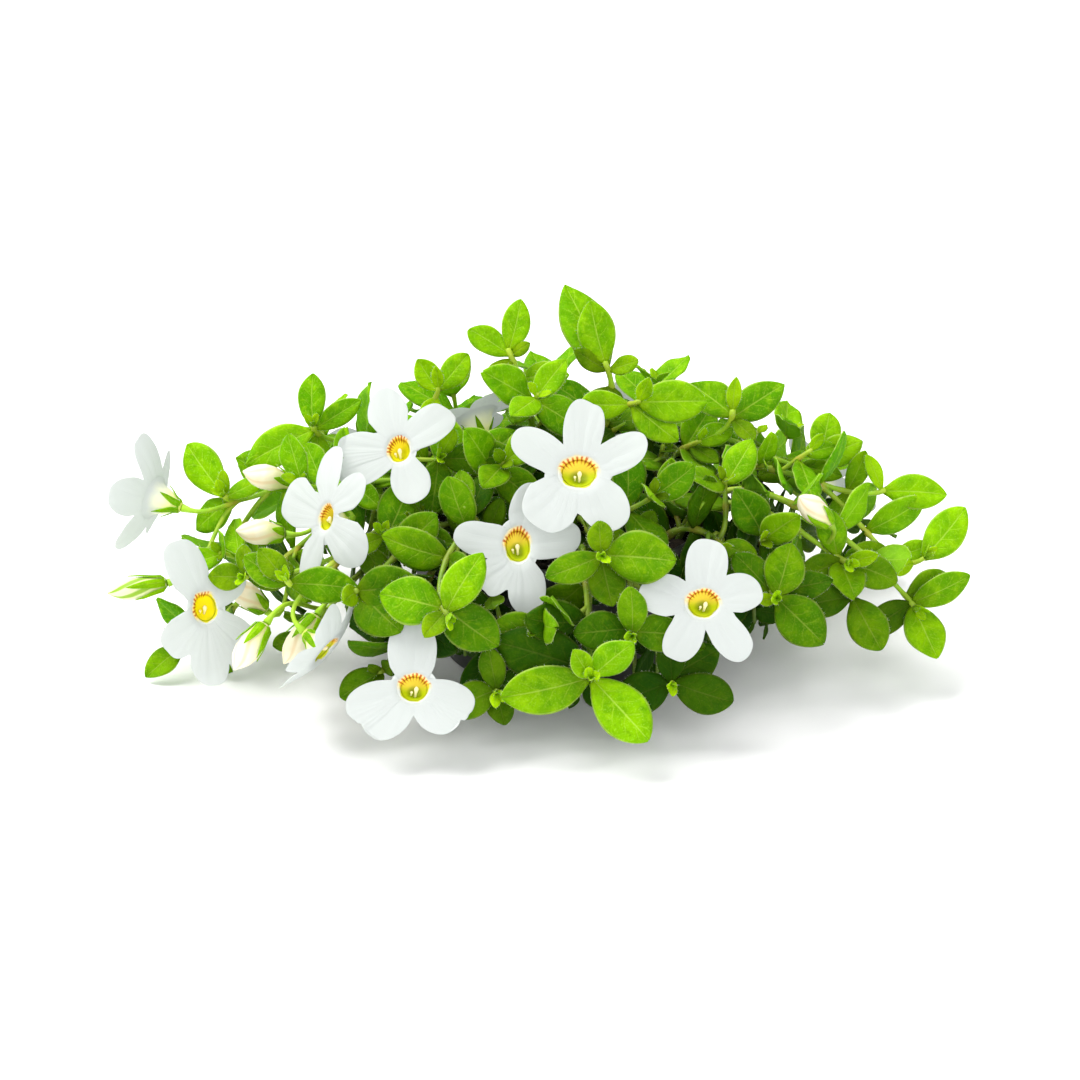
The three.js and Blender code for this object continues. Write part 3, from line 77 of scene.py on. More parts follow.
# Blooms: name, stem, at, middle of the face, direction it looks, radius, how far the lobes bend back, and the
# lobes: angle (degrees, anticlockwise from the bloom's own right, seen from its front), half width and length
# over the radius
BLOOMS = [
    ("bloom_01", "stem_14", 0.80, (-28, -17, 45), (-0.10, -0.80, 0.58), 11.6, 0.05,
     ((43, 0.28, 1.0), (112, 0.31, 0.97), (180, 0.25, 0.90), (206, 0.30, 1.0), (295, 0.30, 0.88))),
    ("bloom_02", "stem_08", 0.62, (3, -29, 46), (0.02, -0.82, 0.57), 13.0, 0.06,
     ((23, 0.24, 1.0), (83, 0.27, 1.0), (148, 0.25, 1.03), (228, 0.38, 0.95), (306, 0.32, 0.92))),
    ("bloom_03", "stem_11", 0.62, (-7.4, -32, 33.7), (0.10, -0.82, 0.56), 11.2, 0.08,
     ((5, 0.28, 1.0), (72, 0.28, 1.0), (168, 0.27, 1.0), (229, 0.28, 0.92), (278, 0.31, 1.06))),
    ("bloom_04", "stem_09", 0.60, (24, -43, 28), (0.0, -0.88, 0.47), 11.3, 0.05,
     ((18, 0.30, 0.91), (85, 0.32, 1.0), (166, 0.32, 0.99), (240, 0.28, 0.99), (309, 0.27, 1.06))),
    ("bloom_05", "stem_15", 0.75, (-40.6, -23, 34.8), (-0.64, -0.68, 0.36), 11.6, 0.14,
     ((55, 0.24, 1.0), (106, 0.24, 1.08), (172, 0.38, 0.98), (262, 0.20, 1.0), (337, 0.36, 0.95))),
    ("bloom_06", "stem_18", 0.72, (-62, -24, 18), (0.35, -0.86, 0.36), 13.2, 0.10,
     ((40, 0.25, 0.72), (108, 0.27, 1.0), (220, 0.25, 0.80), (266, 0.28, 1.04), (303, 0.28, 0.98))),
    ("bloom_07", "stem_12", 0.80, (-25, -47, 14), (0.0, -0.80, 0.60), 11.6, 0.04,
     ((94, 0.36, 1.0), (202, 0.31, 1.02), (226, 0.33, 0.96), (314, 0.32, 0.86), (338, 0.31, 0.92))),
    ("bloom_08", "stem_16", 0.62, (-40, -41, 18), (0.74, -0.44, -0.50), 10.4, 0.42,
     ((40, 0.32, 1.0), (110, 0.34, 1.0), (180, 0.30, 0.9), (245, 0.34, 1.0), (310, 0.34, 1.0))),
    ("bloom_09", "stem_19", 0.80, (-72, -2, 29), (-0.86, 0.42, 0.14), 11.4, -0.28,
     ((20, 0.32, 1.0), (92, 0.30, 1.0), (165, 0.32, 1.0), (235, 0.34, 1.0), (305, 0.32, 1.0))),
    ("bloom_10", "stem_01", 0.55, (-15, 5, 42), (-0.35, 0.60, 0.70), 10.0, 0.08,
     ((20, 0.30, 1.0), (90, 0.30, 1.0), (160, 0.30, 1.0), (230, 0.30, 1.0), (310, 0.33, 1.0))),
    ("bloom_11", "stem_22", 0.72, (-36, 40, 20), (-0.35, 0.85, 0.35), 11.4, 0.06,
     ((32, 0.28, 1.0), (102, 0.30, 1.0), (172, 0.28, 0.97), (242, 0.33, 1.0), (322, 0.34, 0.96))),
    ("bloom_12", "stem_24", 0.72, (16, 46, 22), (0.20, 0.90, 0.30), 11.6, 0.08,
     ((0, 0.27, 1.0), (70, 0.29, 1.0), (140, 0.29, 1.0), (210, 0.34, 0.95), (290, 0.33, 0.96))),
    ("bloom_13", "stem_25", 0.70, (50, 32, 17), (0.60, 0.75, 0.30), 11.2, 0.05,
     ((50, 0.30, 0.97), (120, 0.28, 1.0), (190, 0.28, 1.0), (260, 0.32, 1.0), (340, 0.35, 0.95))),
]
# Buds: name, stem, at, middle of the bud, direction it points, length
BUDS = [
    ("bud_01", "stem_15", 0.60, (-53, -12, 27), (-0.92, -0.20, 0.18), 8.6),
    ("bud_02", "stem_18", 0.55, (-55.4, -14.5, 15.8), (-0.6, -0.1, 0.6), 8.6),
    ("bud_03", "stem_17", 0.80, (-53.6, -35.3, 16), (-0.55, -0.50, -0.65), 9.5),
    ("bud_04", "stem_17", 0.62, (-45.2, -30.4, 15), (-0.55, -0.40, -0.70), 10.0),
    ("bud_05", "stem_19", 0.86, (-75, -14, 17), (-0.97, -0.15, -0.12), 10.4),
    ("bud_06", "stem_05", 0.80, (44, -20, 35), (-0.60, -0.35, 0.72), 9.0),
    ("bud_07", "stem_15", 0.80, (-52, -4, 34), (-0.9, -0.1, 0.3), 9.0),
]
# Main stems: name, root on the soil, rise, then the shoot: tip, heading, leaf pairs, leaf length, twist and
# openness; and its side shoots: where each leaves the stem, then the shoot
STEMS = [
    ("stem_01", (-4, 5), 18, ((-9.3, 4, 55.4), (-0.35, -0.10, 0.90), 6, 10.5, 0, 0.9),
     [(0.62, (-4, -6, 51), (0.1, -0.4, 0.85), 4, 11.0, 30, 1.0)]),
    ("stem_02", (5, 5), 18, ((7.9, 4, 52.9), (-0.35, -0.10, 0.90), 6, 12.0, 90, 0.9),
     [(0.6, (14, -2, 48), (0.5, -0.4, 0.6), 4, 12.0, 20, 1.0)]),
    ("stem_03", (13, 3), 18, ((30.6, 0, 45.3), (0.0, -0.15, 1.0), 6, 12.0, 0, 1.0),
     [(0.66, (47, 4, 34.9), (0.45, 0.0, 0.9), 4, 11.0, 0, 0.7)]),
    ("stem_04", (22, 1), 18, ((58, -2, 30.7), (0.75, -0.10, 0.45), 6, 12.0, 0, 1.0),
     [(0.66, (64.6, -10, 21), (0.65, -0.25, 0.7), 4, 12.0, 90, 0.9)]),
    ("stem_05", (20, -7), 20, ((50, -20, 25), (0.25, -0.85, 0.35), 6, 12.0, -15, 1.0),
     [(0.5, (35, -26, 32), (0.2, -0.75, 0.5), 3, 12.0, 60, 1.0)]),
    ("stem_06", (19.5, -10.5), 22, ((62.3, -18, 15.5), (0.35, -0.80, 0.30), 7, 12.0, 20, 1.0),
     [(0.6, (51, -24, 20), (0.2, -0.8, 0.3), 2, 12.0, 60, 1.0)]),
    ("stem_07", (15.5, -15), 20, ((37.2, -32, 23.8), (0.15, -0.85, 0.35), 7, 12.0, 95, 1.0),
     [(0.5, (28.6, -18, 40), (0.1, -0.6, 0.75), 4, 12.0, 40, 1.0)]),
    ("stem_08", (2, -12), 18, ((6.9, -39, 35.2), (0.1, -0.80, 0.45), 5, 12.0, -5, 1.0),
     [(0.5, (16, -27, 41), (0.4, -0.6, 0.7), 4, 12.0, 50, 1.0)]),
    ("stem_09", (10, -19.5), 22, ((12, -45, 23), (0.05, -0.85, 0.4), 6, 12.0, -30, 1.0),
     [(0.55, (19, -43, 13), (0.15, -0.85, 0.1), 4, 12.0, 70, 1.0)]),
    ("stem_10", (3, -21.5), 26, ((5, -49, 17), (0.0, -0.85, 0.50), 7, 14.0, -42, 1.0),
     [(0.6, (-4, -43, 24), (-0.4, -0.8, 0.3), 3, 13.0, 80, 1.0)]),
    ("stem_11", (-6, -20), 22, ((-19.2, -44, 26.5), (0.0, -0.85, 0.5), 6, 12.0, 65, 1.0),
     [(0.55, (-11, -46, 13), (0.0, -0.85, 0.1), 4, 12.0, 30, 1.0)]),
    ("stem_12", (-13.5, -17), 24, ((-31, -41, 14), (-0.3, -0.8, 0.3), 7, 12.0, 60, 1.0),
     [(0.5, (-24, -38, 25), (-0.1, -0.85, 0.3), 3, 12.0, 10, 1.0)]),
    ("stem_13", (-12, -10), 18, ((-35, -38, 28), (-0.2, -0.85, 0.35), 6, 12.0, 10, 1.0),
     [(0.5, (-30.7, -24, 32), (-0.1, -0.5, 0.85), 2, 12.0, 80, 1.0)]),
    ("stem_14", (-9, -3), 14, ((-21, -15, 42.8), (0.3, -0.75, 0.5), 5, 12.0, 10, 1.0),
     [(0.5, (-10, -20, 44), (0.0, -0.7, 0.7), 4, 12.0, 40, 1.0)]),
    ("stem_15", (-16, -4), 20, ((-46, -12, 37), (-0.4, -0.5, 0.75), 6, 11.5, 10, 1.0), []),
    ("stem_16", (-19, -8), 12, ((-46.9, -35, 28.5), (-0.1, -0.6, 0.75), 7, 12.0, 0, 1.0),
     [(0.55, (-55, -24, 24), (-0.4, -0.8, 0.1), 3, 11.0, 50, 1.0)]),
    ("stem_17", (-15.5, -14.5), 24, ((-46, -24, 12), (-0.6, -0.6, 0.0), 4, 8.5, 60, 1.0), []),
    ("stem_18", (-21.5, -4.5), 24, ((-68, -16, 6), (-0.5, -0.7, 0.2), 7, 11.0, 30, 1.0),
     [(0.6, (-60, -14, 24), (-0.3, -0.8, 0.5), 3, 11.0, 60, 1.0)]),
    ("stem_19", (-22, 1), 18, ((-59.9, -3, 30), (-0.2, -0.6, 0.8), 6, 12.0, 130, 1.0),
     [(0.7, (-64, -5, 18), (-0.7, -0.5, 0.2), 3, 10.0, 40, 1.0)]),
    ("stem_20", (-15, 7), 16, ((-44.3, 6, 39.6), (-0.1, -0.50, 0.85), 6, 12.0, 10, 1.0),
     [(0.45, (-22, 14, 43.7), (0.0, -0.3, 0.95), 3, 11.0, 50, 1.0)]),
    ("stem_21", (-17.5, 12.5), 22, ((-54, 26, 18), (-0.6, 0.5, 0.3), 7, 12.0, 20, 1.0),
     [(0.55, (-44, 20, 33), (-0.4, 0.4, 0.7), 4, 12.0, 60, 1.0)]),
    ("stem_22", (-11, 18), 24, ((-24, 46, 12), (-0.3, 0.8, 0.2), 7, 12.5, 65, 1.0),
     [(0.5, (-20, 28, 38), (-0.3, 0.5, 0.7), 4, 12.0, 15, 1.0)]),
    ("stem_23", (1, 19), 24, ((0, 50, 10), (0.05, 0.85, 0.2), 7, 12.5, 30, 1.0),
     [(0.5, (-2, 30, 40), (-0.1, 0.5, 0.8), 4, 12.0, 75, 1.0)]),
    ("stem_24", (12, 17), 24, ((30, 43, 12), (0.35, 0.8, 0.2), 7, 12.5, 10, 1.0),
     [(0.5, (18, 26, 40), (0.3, 0.4, 0.8), 4, 12.0, 45, 1.0)]),
    ("stem_25", (19, 11), 22, ((56, 28, 12), (0.6, 0.6, 0.2), 7, 12.5, 50, 1.0),
     [(0.55, (42, 20, 33), (0.4, 0.3, 0.8), 4, 12.0, 0, 1.0)]),
]
# The heads of the outermost shoots as they show from the front: how far behind the tip a leaf sits, the way
# it points (degrees from +X towards up), its lean to the front, its length and its width over its length
HEADS = {
    "stem_01": [(0.4, 72, 5, 9.4, 0.55), (1.2, 146, 10, 8.8, 0.60), (2.0, 223, 25, 6.0, 0.6),
                (1.2, 28, 20, 4.2, 0.6), (6.0, 190, 20, 8.0, 0.6), (6.0, 10, 20, 9.0, 0.6)],
    "stem_02": [(1.2, 118, -8, 17.0, 0.52), (0.4, 109, 14, 11.5, 0.60), (1.8, 153, 20, 7.4, 0.5),
                (1.8, 15, 30, 6.0, 0.6), (5.0, 230, 15, 8.0, 0.6), (5.0, 275, 20, 6.5, 0.6)],
    "stem_02_side_1": [(0.8, 2, -5, 12.5, 0.62), (2.5, -42, 10, 10.5, 0.6), (0.3, 60, 30, 5.0, 0.6),
                       (3.0, 185, 20, 9.0, 0.6)],
    "stem_03": [(1.2, 135, 5, 9.5, 0.74), (0.3, 90, 12, 6.2, 0.45), (1.8, 35, -5, 11.5, 0.56),
                (1.8, -40, 25, 6.0, 0.6)],
    "stem_03_side_1": [(0.5, 78, -5, 8.2, 0.7), (1.6, 28, 10, 9.0, 0.66), (5.0, 190, 15, 8.0, 0.6),
                       (5.0, -10, 20, 8.0, 0.5)],
    "stem_04": [(0.6, 2, 5, 11.5, 0.56), (0.6, 111, 20, 7.6, 0.4), (7.0, 250, 15, 8.0, 0.55),
                (7.0, 60, 15, 8.0, 0.5)],
    "stem_04_side_1": [(0.3, 46, 0, 12.0, 0.58), (2.0, 200, 30, 5.0, 0.6), (6.0, 175, 20, 9.5, 0.6),
                       (6.0, 20, 10, 7.0, 0.6)],
    "stem_05": [(0.3, 10, 25, 6.0, 0.5), (1.2, -18, 15, 10.0, 0.62), (1.6, 200, 15, 9.5, 0.62),
                (3.0, -66, 10, 10.5, 0.7), (3.0, 100, 10, 9.0, 0.6)],
    "stem_06": [(0.8, 22, 5, 11.4, 0.48), (0.8, 211, 8, 10.6, 0.52), (0.4, -68, 15, 10.6, 0.70),
                (2.2, 30, -15, 9.5, 0.6)],
    "stem_07": [(0.6, 72, 5, 9.8, 0.74), (0.8, -43, 15, 11.5, 0.72), (2.6, 12, 5, 11.0, 0.50),
                (2.4, 128, 10, 9.5, 0.6), (0.2, 190, 30, 4.0, 0.6)],
    "stem_08": [(0.6, 206, 15, 10.4, 0.54), (0.8, 0, 10, 12.8, 0.72), (0.3, 98, 20, 6.0, 0.75),
                (3.0, -75, 15, 9.5, 0.7)],
    "stem_09": [(0.5, 87, 10, 9.6, 0.54), (2.0, 0, 5, 9.5, 0.7), (3.0, 185, 5, 10.0, 0.7)],
    "stem_06_side_1": [(0.4, -62, 10, 10.5, 0.68), (0.6, 185, 10, 9.0, 0.65)],
    "stem_09_side_1": [(0.6, -22, 10, 11.0, 0.66), (0.6, 200, 5, 10.5, 0.7), (0.3, 95, 15, 9.0, 0.6),
                       (2.0, 30, 0, 10.0, 0.7)],
    "stem_11_side_1": [(0.6, 200, 10, 9.0, 0.7), (0.6, 20, 10, 9.0, 0.66), (0.3, 100, 20, 8.0, 0.6),
                       (2.0, -80, 10, 7.0, 0.7)],
    "stem_10": [(0.8, -46, 12, 14.6, 0.60), (0.8, 197, 5, 15.5, 0.54), (0.4, 46, 20, 9.8, 0.62),
                (0.2, 123, 30, 6.5, 0.62), (2.6, 158, 0, 17.5, 0.56)],
    "stem_11": [(0.8, 62, 10, 12.0, 0.56), (1.0, 230, 25, 6.0, 0.7), (2.0, 165, 5, 11.0, 0.78),
                (3.0, -40, -5, 12.0, 0.7)],
    "stem_13": [(0.5, 4, 10, 11.5, 0.72), (1.6, -62, 12, 11.5, 0.8), (1.6, 215, 15, 8.0, 0.7)],
    "stem_13_side_1": [(1.0, 76, 0, 12.0, 0.68), (0.5, 200, 20, 6.0, 0.6)],
    "stem_14": [(0.6, -4, 15, 13.0, 0.52), (0.2, 60, 25, 6.0, 0.5), (3.0, -95, 10, 10.0, 0.7)],
    "stem_16": [(0.4, 128, 12, 7.6, 0.62), (1.0, 0, 10, 12.0, 0.54), (1.0, 152, 5, 9.0, 0.6)],
    "stem_16_side_1": [(0.6, 178, -38, 9.5, 0.75), (0.8, 5, 10, 8.5, 0.7), (0.3, 90, 20, 6.0, 0.6)],
    "stem_19": [(0.8, 128, 5, 12.2, 0.58), (0.8, 28, 15, 8.2, 0.45), (2.5, 215, 15, 8.5, 0.7),
                (0.2, 80, 25, 5.0, 0.5)],
    "stem_20": [(0.5, 95, 5, 9.8, 0.56), (1.0, 203, 10, 14.0, 0.52), (1.0, 33, 0, 10.0, 0.45),
                (2.5, -95, 15, 8.5, 0.7)],
    "stem_20_side_1": [(0.6, 49, 5, 8.6, 0.6), (0.6, 125, 5, 6.8, 0.7), (0.2, 90, 25, 4.5, 0.5),
                       (1.8, 250, 10, 5.5, 0.7)],
}

# The mouths' widths and heights over round ones, how golden the cups are, and how far the streaks are turned
MOUTHS = {"bloom_01": (0.74, 0.86), "bloom_02": (1.24, 1.02), "bloom_03": (0.86, 1.14),
          "bloom_04": (1.06, 0.92), "bloom_05": (0.58, 0.90), "bloom_06": (0.82, 1.02),
          "bloom_07": (0.98, 0.90), "bloom_11": (1.05, 0.9), "bloom_13": (0.92, 1.05)}
GOLDEN = {"bloom_06": 1.0, "bloom_01": 0.6, "bloom_05": 0.3, "bloom_11": 0.4}
STREAKS_TURNED = {"bloom_06": 48, "bloom_01": 36, "bloom_05": 30, "bloom_03": 8, "bloom_12": -14}
GREEN_BUD = "bud_05"
SEPAL_SHARE = {"bud_05": 0.66, "bud_06": 0.74, "bud_03": 0.62, "bud_04": 0.58, "bud_01": 0.40}

# How full a lobe's two ends are, where the face starts round the mouth, and how large a part the UV map shows
LOBE_A, LOBE_B = 0.78, 0.40
LIMB_START = 2.2
FACE_MAP_SIZE = 32
PETAL_WHITE = (207, 211, 209)

# The profiles of a bloom's tube and throat as (radius, height), before they are scaled, and of a bud as shares
# of its length and its radius
THROAT_SCALE = 0.82
TUBE_OUTSIDE = ((0.0, -5.3), (0.9, -5.2), (1.25, -4.6), (1.45, -3.9), (1.9, -3.3), (2.5, -2.6),
                (2.92, -1.8), (3.22, -1.0), (3.5, -0.55), (3.9, -0.14), (4.45, 0.16), (4.85, 0.28),
                (5.05, 0.37), (5.15, 0.42))
TUBE_INSIDE = ((5.05, 0.44), (4.8, 0.39), (4.2, 0.27), (3.75, 0.0), (3.35, -0.5), (3.1, -1.0), (2.8, -1.8),
               (2.35, -2.6), (1.75, -3.3), (1.0, -3.8), (0, -3.9))
THROAT_OUTSIDE = ((0, -3.7), (0.9, -3.6), (1.6, -3.2), (2.2, -2.6), (2.65, -1.8), (2.95, -1.0),
                  (3.4, -0.3))
THROAT_RIM = ((3.6, 0.0), (3.5, 0.09), (3.3, 0.13), (3.1, 0.14), (2.9, 0.13))
THROAT_INSIDE = ((2.7, -0.82), (2.5, -1.05), (2.2, -1.32), (1.8, -1.65), (1.3, -1.95), (0.7, -2.15),
                 (0, -2.2))
BUD_OUTSIDE = ((0, 0.45), (0.06, 0.62), (0.2, 0.74), (0.4, 0.96), (0.6, 1.0), (0.78, 0.80), (0.9, 0.46),
               (0.97, 0.18), (1.0, 0.06))

# How much light the heads that stand among the others get
HEAD_LIGHT = {"stem_08": 0.52, "stem_07": 0.60, "stem_16": 0.58, "stem_13": 0.50, "stem_05": 0.72,
              "stem_14": 0.62, "stem_06": 0.68, "stem_06_side_1": 0.52, "stem_09_side_1": 0.48,
              "stem_11_side_1": 0.60, "stem_03": 0.78, "stem_13_side_1": 0.55, "stem_09": 0.62,
              "stem_11": 0.75, "stem_16_side_1": 0.55, "stem_01": 0.85}

# Ways in which a leaf, a stem or a head's leaf is bent when it would cross a neighbour: degrees and a scale
# for leaves, millimetres aside and up for stems
LEAF_BENDS = ((0, 0, 1), (14, 0, 1), (-16, 0, 1), (0, 20, 1), (0, -20, 1), (28, 12, 0.92),
              (-28, -12, 0.92), (8, 38, 0.85), (8, -38, 0.85), (16, 0, 0.7), (-16, 0, 0.7), (0, 25, 0.6),
              (0, -25, 0.6))
PATH_BENDS = ((0, 0), (0, 3), (3, 0), (-3, 0), (0, -3), (4, 4), (-4, 4), (6, 0), (-6, 0), (0, 7), (7, 5),
              (-7, 5), (10, 0), (-10, 0), (0, 11), (12, 7), (-12, 7))
HEAD_BENDS = ((0, 0, 1), (12, 0, 1), (-12, 0, 1), (0, 10, 1), (0, -10, 1), (22, 0, 1), (-22, 0, 1),
              (12, 14, 0.95), (-12, -14, 0.95), (34, 0, 0.9), (-34, 0, 0.9), (0, 20, 0.85), (0, -20, 0.85),
              (20, 0, 0.7), (-20, 0, 0.7), (45, 0, 0.7), (-45, 0, 0.7))

# The directions of the front view, and how squarely a bloom faces it, and how much of that face stays clear
ACROSS_VIEW, UP_VIEW, TO_VIEW = (1, 0, 0), (0, 0.423, 0.906), (0, -0.906, 0.423)
FRONT_FACE = 0.3
FACE_KEPT = 0.75

# Leaf pairs of a shoot, counted from its tip: where they sit, their sizes and how far they spread, in degrees
CAD_PAIRS = 4
TRAIL_PAIRS = (0.3, 2.5, 6.5, 11.0, 15.5, 20.0)
TOP_PAIRS = (0.3, 1.8, 4.6, 8.0)
PAIR_OFFSETS = (0.4, 1.4, 6.0, 12.5, 20.0, 28.0, 36.0, 44.0)
PAIR_SIZES = (0.30, 0.78, 1.0, 1.0, 1.0, 1.0, 0.95, 0.9)
PAIR_SPREAD = (28, 50, 66, 74, 78, 80, 80, 80)
LIGHT_PULL = 1.6

# Where the short shoots start: above this height, and near enough to the pot's rim or far enough from their end
TRAIL_LOWEST, TRAIL_REACH, TRAIL_HEIGHT = 27.5, 34, 31
TOP_LOWEST, TOP_NEAREST = 26, 4
TRAIL_COUNT = 30
CURVE_STEPS = 60

MM = 0.001
rng = np.random.default_rng(7)


def add(a, b):
    return (a[0] + b[0], a[1] + b[1], a[2] + b[2])


def sub(a, b):
    return (a[0] - b[0], a[1] - b[1], a[2] - b[2])


def mul(a, k):
    return (a[0] * k, a[1] * k, a[2] * k)


def dot(a, b):
    return a[0] * b[0] + a[1] * b[1] + a[2] * b[2]


def cross(a, b):
    return (a[1] * b[2] - a[2] * b[1], a[2] * b[0] - a[0] * b[2], a[0] * b[1] - a[1] * b[0])


def length(a):
    return math.sqrt(dot(a, a))


def unit(a):
    return mul(a, 1 / length(a))


def rad(d):
    return d * math.pi / 180


def on(p, way, far):
    """The point that lies far from p along a way."""
    return add(p, mul(way, far))


def swing(a, b, q):
    """The direction a turned by q radians towards b."""
    return add(mul(a, math.cos(q)), mul(b, math.sin(q)))


class Draw:
    """Seeded random numbers, the same in every run."""
    def __init__(self, seed):
        self.state = seed

    def next(self):
        self.state = (self.state * 48271) % 2147483647
        return self.state / 2147483647

    def between(self, low, high):
        return low + (high - low) * self.next()


def bezier(points, t):
    a, b, c, d = points
    s = 1 - t
    return tuple(s * s * s * i + 3 * s * s * t * j + 3 * s * t * t * k + t * t * t * n
                 for i, j, k, n in zip(a, b, c, d))


def bezier_tangent(points, t):
    a, b, c, d = points
    s = 1 - t
    return unit(tuple(3 * s * s * (j - i) + 6 * s * t * (k - j) + 3 * t * t * (n - k)
                      for i, j, k, n in zip(a, b, c, d)))


def curve_marks(curve, steps=CURVE_STEPS):
    """Points at equal steps of a curve's own measure."""
    return [bezier(curve, i / steps) for i in range(steps + 1)]


def path_run(curve):
    """The length of a curve up to each of its steps."""
    marks = curve_marks(curve)
    run = [0.0]
    for a, b in zip(marks, marks[1:]):
        run.append(run[-1] + length(sub(a, b)))
    return run


def time_at(run, want):
    """How far along its steps, from 0 to 1, a curve has the length want."""
    steps = len(run) - 1
    i = max(j for j in range(steps) if run[j] <= want)
    return (i + (want - run[i]) / (run[i + 1] - run[i])) / steps


def spot(curve, run, want):
    """The point that lies the length want along a curve, and the way ahead there."""
    t = time_at(run, want)
    return bezier(curve, t), bezier_tangent(curve, t)


def half_width(stations, u):
    """A blade's half width over its greatest, at the share u of its length."""
    if u <= 0 or u >= 1:
        return 0.0
    for (u0, w0), (u1, w1) in zip(stations, stations[1:]):
        if u <= u1:
            return w0 + (w1 - w0) * (u - u0) / (u1 - u0)


def make_blade(owner, base, along, normal, size, width, droop, fold, stations):
    """A leaf or a lobe as the layout sees it: a bent and folded plate with few corners."""
    along = unit(along)
    normal = unit(sub(normal, mul(along, dot(normal, along))))
    blade = dict(owner=owner, base=base, along=along, normal=normal, across=cross(normal, along), size=size,
                 width=width, droop=droop, fold=fold, stations=stations, reach=size * 0.62)
    blade["centre"] = blade_point(blade, 0.5, 0)
    blade["net"] = blade_net(blade)
    return blade


def blade_point(b, u, v):
    w = half_width(b["stations"], u) * b["width"] / 2
    lift = -b["droop"] * b["size"] * u * u + b["fold"] * abs(v) * w
    return add(on(b["base"], b["along"], b["size"] * u), add(mul(b["across"], v * w), mul(b["normal"], lift)))


def blade_net(b):
    """The blade's corner points and the edges between them, as the test for crossings sees it."""
    us = [u for u, _ in b["stations"]]
    mid, left, right = ([blade_point(b, u, v) for u in part]
                        for v, part in ((0, us), (1, us[1:-1]), (-1, us[1:-1])))
    lines = list(zip(mid, mid[1:]))
    for side in (left, right):
        lines += [(mid[0], side[0]), (side[-1], mid[-1]), *zip(side, side[1:]), *zip(mid[1:], side)]
    return dict(lines=lines, mid=mid[1:], rim=left + right)


def local(b, p):
    """A point in a blade's own terms: along over its length, across, and height over its face."""
    d = sub(p, b["base"])
    u, v = dot(d, b["along"]) / b["size"], dot(d, b["across"])
    return u, v, dot(d, b["normal"]) - (-b["droop"] * b["size"] * u * u + b["fold"] * abs(v))


def within(b, u, v, margin):
    return -0.02 < u < 1.04 and abs(v) < half_width(b["stations"], u) * b["width"] / 2 + margin


def near_face(b, u, v, h, gap):
    return abs(h) < gap and within(b, u, v, gap * 0.6)


def pierces(b, p, q, gap):
    """Whether the line p to q crosses blade b's face or ends within gap of it."""
    (u0, v0, h0), (u1, v1, h1) = local(b, p), local(b, q)
    if h0 * h1 < 0:
        t = h0 / (h0 - h1)
        if within(b, u0 + (u1 - u0) * t, v0 + (v1 - v0) * t, gap):
            return True
    return near_face(b, u0, v0, h0, gap) or near_face(b, u1, v1, h1, gap)


def apart(a, b, reach):
    d = sub(a, b)
    return dot(d, d) > reach * reach


def blades_cross(a, b):
    if apart(a["centre"], b["centre"], a["reach"] + b["reach"] + 1):
        return False
    half = LEAF_THICK / 2
    return any(any(pierces(other, p, q, half + AIR * 0.7) for p, q in one["net"]["lines"])
               or any(near_face(other, *local(other, p), 2 * half + AIR * 0.7) for p in one["net"]["mid"])
               for one, other in ((a, b), (b, a)))


def blade_hits_rod(b, rod):
    p, q, r = rod["from"], rod["to"], rod["radius"]
    if apart(b["centre"], mul(add(p, q), 0.5), b["reach"] + length(sub(p, q)) / 2 + r + 1):
        return False
    corners = b["net"]["mid"] + b["net"]["rim"]
    return pierces(b, p, q, r + AIR + 0.2) or any(point_rod(m, rod) < r + AIR + 0.4 for m in corners)


def point_rod(p, rod):
    a, d = rod["from"], sub(rod["to"], rod["from"])
    t = max(0, min(1, dot(sub(p, a), d) / dot(d, d)))
    return length(sub(p, on(a, d, t)))


def rods_touch(a, b):
    gap = a["radius"] + b["radius"] + AIR
    middles = [mul(add(rod["from"], rod["to"]), 0.5) for rod in (a, b)]
    if apart(*middles, gap + (length(sub(a["from"], a["to"])) + length(sub(b["from"], b["to"]))) / 2):
        return False
    return any(point_rod(add(mul(a["from"], 1 - k / 4), mul(a["to"], k / 4)), b) < gap for k in range(5))


def pot_radius(z):
    """The pot's outer radius at height z."""
    if z > POT_HEIGHT - RIM_BAND - 0.5:
        return RIM_RADIUS
    return BASE_RADIUS + (RIM_RADIUS - RIM_STEP - BASE_RADIUS) * z / (POT_HEIGHT - RIM_BAND)


def in_pot(p, gap):
    """Whether a point lies within gap of the pot, the soil or the floor."""
    r = math.hypot(p[0], p[1])
    if p[2] < 0.5 + gap * 0.3:
        return True
    if p[2] > POT_HEIGHT + gap or r > pot_radius(p[2]) + gap:
        return False
    return p[2] < SOIL_TOP + gap or r > RIM_RADIUS - RIM_STEP - WALL - gap


def in_wall(p, gap):
    r = math.hypot(p[0], p[1])
    outer = pot_radius(p[2])
    if p[2] > POT_HEIGHT + gap or r > outer + gap:
        return False
    return r > min(outer, RIM_RADIUS - RIM_STEP) - WALL - gap


def rods_meet_pot(rods, skip):
    """Whether rods touch the pot; the first ones, up to skip, may stand in the soil."""
    for i, rod in enumerate(rods):
        gap = rod["radius"] + AIR
        for k in range(5):
            p = on(rod["from"], sub(rod["to"], rod["from"]), k / 4)
            if in_wall(p, gap) or (i > skip or i == skip and k) and in_pot(p, gap):
                return True
    return False


def rods_of(owner, points, radius):
    return [{"owner": owner, "from": p, "to": q, "radius": radius} for p, q in zip(points, points[1:])]


def path_points(curve, main):
    steps, bias = (STEM_STEPS, ROOT_BIAS) if main else (SIDE_STEPS, 1.0)
    return [bezier(curve, (i / steps) ** bias) for i in range(steps + 1)]


def bloom_axes(facing):
    """The bloom's own right and up, seen from its front."""
    side = unit(cross((0, 0, 1), facing))
    return side, cross(facing, side)


